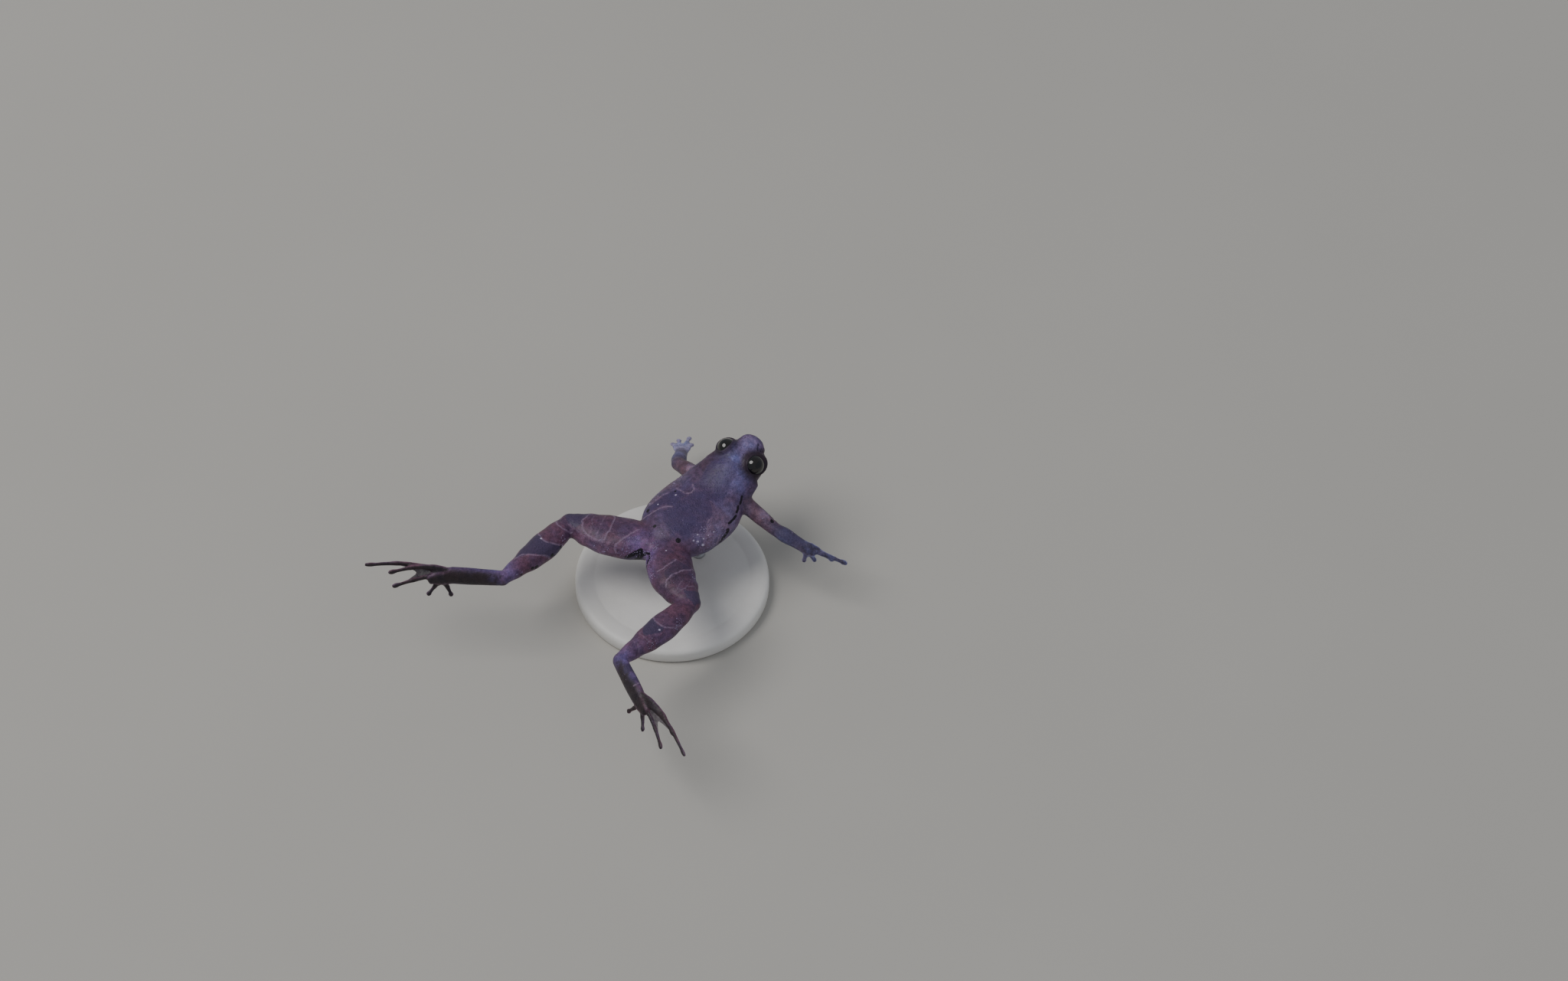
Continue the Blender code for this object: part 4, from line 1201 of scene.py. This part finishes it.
def skin_effect():
    """The skin's colours: mottled tone, dark patches, pale lines, black spots and white specks."""
    group, w, output = shared_effect("frog_skin")
    where = w.millimetres()
    jitter = w.math("SUBTRACT", w.noise(where, 2.6, 4.0, 0.7), 0.5)
    broken = w.noise(where, 3.2, 2.0)
    skin = w.node("ShaderNodeAttribute", attribute_name="tone").outputs["Color"]
    for scale, detail, roughness, band, dim, bright in MOTTLING:
        fine = w.noise(where, scale, detail, roughness)
        shade = w.mix(w.step(fine, *band), dim, bright)
        skin = w.mix(1.0, skin, shade, "MULTIPLY")
    marbling = w.times(w.step(w.noise(where, 1.1, 3.0), 0.47, 0.56), w.value("under"))
    skin = w.paint(skin, marbling, 0.55, "sole")

    edge = w.plus(w.value("dark"), w.times(jitter, 0.55))
    dark = w.mix(1.0, colour_value("dark_bar"), shade, "MULTIPLY")
    skin = w.mix(w.times(w.step(edge, -0.09, 0.11), w.value("strength")), skin, dark)
    back_edge = w.plus(w.value("back"), w.times(jitter, 0.9))
    back = w.mix(1.0, colour_value("back_dark"), shade, "MULTIPLY")
    skin = w.mix(w.times(w.step(back_edge, -0.15, 0.2), 0.6), skin, back)

    border = w.step(w.math("ABSOLUTE", w.plus(edge, 0.1)), 0.09, 0.03)
    pale = w.times(border, w.step(broken, 0.5, 0.6, 0.0, 0.25))
    for name, fade, gaps in LINE_LOOKS:
        line = w.step(w.plus(w.value(name), w.times(jitter, 0.08)), *fade)
        pale = w.math("MAXIMUM", pale, w.times(line, w.step(broken, *gaps)))
    skin = w.mix(pale, skin, colour_value("pale_line"))

    dots = w.cells(where, 2.6)
    chance = w.node("ShaderNodeSeparateColor", {"Color": dots.outputs["Color"]})
    chosen = w.math("LESS_THAN", chance.outputs[0], w.value("speck"))
    size = w.step(chance.outputs[1], 0.0, 1.0, 0.1, 0.2)
    dot = w.step(w.math("DIVIDE", dots.outputs["Distance"], size), 1.0, 0.6)
    dot = w.times(w.times(dot, chosen), w.step(chance.outputs[2], 0.0, 1.0, 0.35, 1.0))
    skin = w.paint(skin, dot, 0.65, "speck")
    skin = w.paint(skin, w.step(w.value("white"), 0.03, -0.04), 0.85, "white_dot")
    black = w.step(w.plus(w.value("black"), w.times(jitter, 0.2)), 0.04, -0.05)
    skin = w.paint(skin, black, 0.93, "black_spot")
    skin = w.paint(skin, w.value("rim"), 0.6, "lid")

    grain = w.step(w.cells(where, 4.2).outputs["Distance"], 0.55, 0.0)
    pores = w.noise(where, 12.0, 3.0, 0.6)
    height = w.plus(w.plus(w.times(grain, 0.6), w.times(pores, 0.4)), w.times(dot, 0.8))
    give_out(w, output, Colour=skin, Roughness=w.step(fine, 0.3, 0.7, 0.36, 0.54), Height=height)
    return group


def skin_material():
    return material_from(
        skin_effect(), "skin", SKIN_BUMP, Coat_Weight=0.08, Coat_Roughness=0.2, Specular_IOR_Level=0.3,
        Subsurface_Weight=0.06, Subsurface_Scale=0.4 * MM, Subsurface_Radius=(1.0, 0.45, 0.4)
    )


def eye_material():
    """A dark bronze iris with fine flecks round a wide black pupil, under a wet clear coat."""
    group, w, output = shared_effect("frog_eye")
    polar = w.value("polar")
    flecks = w.noise(w.millimetres(), 9.0, 4.0, 0.7)
    iris = w.mix(w.step(flecks, 0.45, 0.7), colour_value("iris"), colour_value("iris_fleck"))
    iris = w.mix(w.step(polar, 38.0, 62.0), iris, colour_value("eye_dark"))
    iris = w.mix(w.step(w.value("pupil"), 1.04, 0.96), iris, colour_value("pupil"))
    give_out(w, output, Colour=iris, Roughness=w.step(polar, 40.0, 70.0, 0.06, 0.16), Height=flecks)
    return material_from(group, "eye", 0.003, Coat_Weight=1.0, Coat_Roughness=0.02, IOR=1.4)


def web_material():
    """Thin grey skin that lets some light through, with darker veins."""
    group, w, output = shared_effect("frog_web", (("Cover", "NodeSocketFloat"),))
    where = w.millimetres()
    veins = w.cells(where, 1.9, "DISTANCE_TO_EDGE").outputs["Distance"]
    cloud = w.noise(where, 2.2, 4.0)
    tone = w.mix(w.step(cloud, 0.35, 0.65), colour_value("web"), colour_value("web_light"))
    tone = w.mix(w.step(veins, 0.08, 0.01, 0.0, 0.5), tone, colour_value("sole"))
    cover = w.step(cloud, 0.35, 0.65, 0.9, 0.72)
    give_out(w, output, Colour=tone, Roughness=w.step(cloud, 0.3, 0.7, 0.25, 0.4), Height=cloud, Cover=cover)
    return material_from(group, "web", 0.02, Coat_Weight=0.3, Coat_Roughness=0.15)


def grained_material(name, effect, shades, clouds, band, grain, rough, depth, **constants):
    """Clouds of two shades under a fine grain; both noises are given by their scale and detail."""
    group, w, output = shared_effect(effect)
    where = w.millimetres()
    dull, bright = (colour_value(shade) for shade in shades)
    tone = w.mix(w.step(w.noise(where, *clouds), *band), dull, bright)
    fine = w.noise(where, *grain)
    give_out(w, output, Colour=tone, Roughness=w.step(fine, 0.3, 0.7, *rough), Height=fine)
    return material_from(group, name, depth, **constants)


def granule_material():
    return grained_material(
        "granule", "frog_granule", ("granule", "speck"), (0.9, 3.0), (0.4, 0.6), (14.0, 2.0), (0.25, 0.4),
        0.006, Coat_Weight=0.3, Coat_Roughness=0.12
    )


def base_material():
    """Matt moulded plastic: near white, with a fine grain and faint clouds."""
    return grained_material(
        "base_plastic", "base_plastic", ("base", "base_light"), (0.12, 4.0), (0.35, 0.65), (4.5, 3.0),
        (0.42, 0.55), 0.012
    )


def rod_material():
    """Steel brushed round the rod: fine rings, bright and slightly uneven."""
    group, w, output = shared_effect("rod_steel")
    squeeze = w.node("ShaderNodeVectorMath", {0: w.millimetres(), 1: (0.6, 0.6, 14.0)}, operation="MULTIPLY")
    rings = w.noise(squeeze.outputs["Vector"], 1.0, 3.0, 0.6)
    tone = w.mix(w.step(rings, 0.3, 0.7), colour_value("steel"), colour_value("steel_light"))
    give_out(w, output, Colour=tone, Roughness=w.step(rings, 0.3, 0.7, 0.22, 0.4), Height=rings)
    return material_from(group, "rod_steel", 0.006, Metallic=1.0)


def floor_material():
    group, w, output = shared_effect("floor_matt")
    cloud = w.noise(w.millimetres(), 0.02, 3.0)
    tone = w.mix(cloud, colour_value("floor"), colour_value("floor_light"))
    give_out(w, output, Colour=tone, Roughness=w.step(cloud, 0.3, 0.7, 0.75, 0.85), Height=cloud)
    return material_from(group, "floor", 0.01)


def new_piece(name, points, faces, material, slot=None, replaced=()):
    """An object of the part: its mesh in metres, smooth, with its material, and fixed to the root body when
    it has a slot.
    """
    mesh = closed_mesh(name, np.asarray(points) * MM, faces)
    return add_piece(name, mesh, material, slot, replaced)


def add_piece(name, mesh, material, slot, replaced=()):
    mesh.shade_smooth()
    mesh.materials.append(material)
    obj = bpy.data.objects.new(name, mesh)
    bpy.context.scene.collection.objects.link(obj)
    if slot:
        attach(obj, "root")
        if replaced:
            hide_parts(*replaced)
    return obj


def turned(profile, centre, sides):
    """Rings of a profile of radius and height, turned round an upright line."""
    radius, height = np.array(profile).T
    points = level_rings(np.maximum(radius, THINNEST), height, sides) + (*centre, 0.0)
    return points, closed_rings(len(profile), sides)


def make_skin(limbs):
    mesh = fuse([limb.form() for limb in limbs.values()] + lid_bulges(limbs), FACET)
    lids = shape_skin(mesh, limbs)
    speck = mark_skin(mesh, limbs, lids)
    points = read_points(mesh)
    normals = read_normals(mesh)
    write_points(mesh, points * MM)
    parts = ("thigh", "shank", "tarsus", "foot", "upper_arm", "forearm", "hand")
    nodes = ["torso", "head"] + [f"{part}_{side}" for side in SIDES for part in parts]
    add_piece("skin", mesh, skin_material(), "skin", nodes)
    return points, normals, speck


def make_granules(points, normals, speck):
    """Low domes on the skin, more of them where the specks are dense: rings of a quarter circle each."""
    draw = np.random.default_rng(GRANULE_SEED)
    chance = np.where(speck > GRANULE_LEAST_SPECK, speck, 0.0)
    chosen = draw.choice(len(points), GRANULE_COUNT, replace=False, p=chance / chance.sum())
    size = draw.uniform(*GRANULE_SIZES, GRANULE_COUNT)[:, None, None]
    rings = np.radians(GRANULE_RINGS)
    dome = level_rings(np.cos(rings), np.sin(rings), GRANULE_SIDES)
    above = normals[chosen]
    across = np.cross(above, UP)
    across /= np.linalg.norm(across, axis=1)[:, None]
    ahead = np.cross(above, across)
    spread = dome[None, :, 0:1] * across[:, None, :] + dome[None, :, 1:2] * ahead[:, None, :]
    rise = GRANULE_HEIGHT * dome[None, :, 2:3] * above[:, None, :]
    made = points[chosen][:, None, :] + size * (spread + rise)
    points, faces = joined((form, closed_rings(len(rings), GRANULE_SIDES)) for form in made)
    new_piece("granules", points, faces, granule_material(), "skin")


def make_eye(side, material):
    """A ball with a slightly raised clear front: rings round the gaze at even steps of angle."""
    look = unit(EYE_LOOKS[side])
    level = unit(np.cross(UP, look))
    above = np.cross(look, level)
    polar = np.linspace(1.0, 179.0, EYE_RINGS)
    turn = turns(EYE_SIDES)
    radius = EYE_RADIUS * (1 + EYE_FRONT_RISE * hump(polar, EYE_FRONT_REACH))
    out = (radius * np.sin(np.radians(polar)))[:, None]
    ahead = (radius * np.cos(np.radians(polar)))[:, None] * np.ones(EYE_SIDES)
    points = (
        np.array(EYES[side])
        + (out * np.cos(turn))[..., None] * level
        + (out * np.sin(turn))[..., None] * above
        + ahead[..., None] * look
    ).reshape(-1, 3)
    faces = closed_rings(EYE_RINGS, EYE_SIDES)
    obj = new_piece(f"eyeball_{side}", points, faces, material, "eye", [f"eye_{side}"])
    wide, high = PUPIL
    size = polar[:, None] * np.sqrt((np.cos(turn) / wide) ** 2 + (np.sin(turn) / high) ** 2)
    set_values(obj.data, "polar", np.repeat(polar, EYE_SIDES))
    set_values(obj.data, "pupil", size.ravel())


def make_webs(side, limbs, material):
    """Thin sheets between the toes: across from toe to toe, sagging, with a hollowed free edge."""
    root = np.array(FOOT_ROOTS[side])
    normal = foot_normal(side)
    across = np.linspace(0.0, 1.0, WEB_ROWS)[:, None]
    along = np.linspace(0.0, 1.0, WEB_COLUMNS)[None, :]
    hollow = 1 - WEB_HOLLOW * np.sin(np.pi * across) * along
    half = normal * WEB_THICKNESS / 2
    forms = []
    for k in range(1, 5):
        toes_here = [limbs[f"toe_{k}_{side}"], limbs[f"toe_{k + 1}_{side}"]]
        lengths = [np.linalg.norm(toe.rows[:, :3] - root, axis=1) for toe in toes_here]
        ends = [length[-1] for length in lengths]
        short = WEB_REACH * min(ends)
        reaches = [short if end == min(ends) else min(short * WEB_LONG, WEB_REACH * end) for end in ends]
        lines = []
        for toe, length, reach in zip(toes_here, lengths, reaches):
            wanted = WEB_START + (reach - WEB_START) * along * hollow
            lines.append(np.stack([np.interp(wanted, length, toe.rows[:, i]) for i in range(3)], axis=-1))
        sheet = lines[0] * (1 - across[..., None]) + lines[1] * across[..., None]
        sheet = sheet - normal * (WEB_SAG * np.sin(np.pi * across) * along)[..., None]
        layers = np.concatenate([(sheet + half).reshape(-1, 3), (sheet - half).reshape(-1, 3)])
        forms.append((layers, closed_sheet(WEB_ROWS, WEB_COLUMNS)))
    new_piece(f"webs_{side}", *joined(forms), material, "foot_skin")


def closed_sheet(rows, columns):
    """Quads of two layers of a grid, one over the other, and of the strip round their edge."""
    i, j = np.meshgrid(np.arange(rows - 1), np.arange(columns - 1), indexing="ij")
    a = (i * columns + j).ravel()
    top = np.stack([a, a + columns, a + columns + 1, a + 1], axis=1)
    under = top[:, ::-1] + rows * columns
    first = np.arange(columns)
    left = np.arange(rows) * columns
    border = np.concatenate([first, left[1:] + columns - 1, first[::-1][1:] + left[-1], left[::-1][1:-1]])
    after = np.roll(border, -1)
    strip = np.stack([border, after, after + rows * columns, border + rows * columns], axis=1)
    return [list(face) for face in np.concatenate([top, under, strip])]


def make_stand(limbs):
    """A turned base with a shallow ring, and two rods with collars that end under the belly."""
    points, faces = turned(BASE_PROFILE, (0.0, 0.0), BASE_SIDES)
    new_piece("base", points, faces, base_material(), "base", ["stand_base"])
    steel = rod_material()
    for name, (x, y) in ROD_PLACES.items():
        _, row, across = trunk_row(limbs["body"], x, y)
        top = row[2] - row[5] * np.sqrt(1 - across**2)
        profile = [(radius, BASE_TOP + height) for radius, height in COLLAR_PROFILE]
        profile += [(radius, top + height) for radius, height in TIP_PROFILE]
        points, faces = turned(profile, (x, y), ROD_SIDES)
        new_piece(f"rod_{name}", points, faces, steel, "rod", [f"stand_rod_{name}"])


def make_stage():
    """A plain pale floor, the camera at the photo's angle, and soft light from above."""
    corners = [(x * FLOOR_HALF, y * FLOOR_HALF, 0.0) for x, y in ((-1, -1), (1, -1), (1, 1), (-1, 1))]
    new_piece("floor", corners, [(0, 1, 2, 3)], floor_material())

    azimuth, elevation = np.radians((CAMERA_AZIMUTH, CAMERA_ELEVATION))
    level = np.cos(elevation)
    ahead = np.array([-np.sin(azimuth) * level, np.cos(azimuth) * level, -np.sin(elevation)])
    right = unit(np.cross(ahead, UP))
    above = np.cross(right, ahead)
    camera = bpy.data.objects.new("camera", bpy.data.cameras.new("camera"))
    camera.data.lens = CAMERA_LENS
    camera.data.sensor_width = CAMERA_SENSOR
    place = np.array(CAMERA_AIM) - ahead * CAMERA_DISTANCE + right * CAMERA_SLIDE[0] + above * CAMERA_SLIDE[1]
    camera.location = place * MM
    camera.rotation_euler = (np.radians(90.0) - elevation, 0.0, azimuth)
    bpy.context.scene.collection.objects.link(camera)
    bpy.context.scene.camera = camera

    for name, place, size, power, tint, mirrored in LIGHTS:
        light = bpy.data.lights.new(name, "AREA")
        light.shape = "DISK"
        light.size = size
        light.energy = power
        light.color = tint
        lamp = bpy.data.objects.new(name, light)
        lamp.location = place
        toward = -np.array(place)
        lamp.rotation_euler = (
            np.arctan2(np.hypot(toward[0], toward[1]), -toward[2]), 0.0, np.arctan2(-toward[0], toward[1])
        )
        lamp.visible_glossy = mirrored
        bpy.context.scene.collection.objects.link(lamp)
    world = bpy.data.worlds.new("sky")
    world.use_nodes = True
    sky = world.node_tree.nodes["Background"]
    sky.inputs["Color"].default_value = SKY_TINT
    sky.inputs["Strength"].default_value = SKY_STRENGTH
    bpy.context.scene.world = world


def build():
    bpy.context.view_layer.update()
    limbs = make_limbs()
    make_granules(*make_skin(limbs))
    eyes = eye_material()
    web = web_material()
    for side in SIDES:
        make_eye(side, eyes)
        make_webs(side, limbs, web)
    make_stand(limbs)
    make_stage()


build()
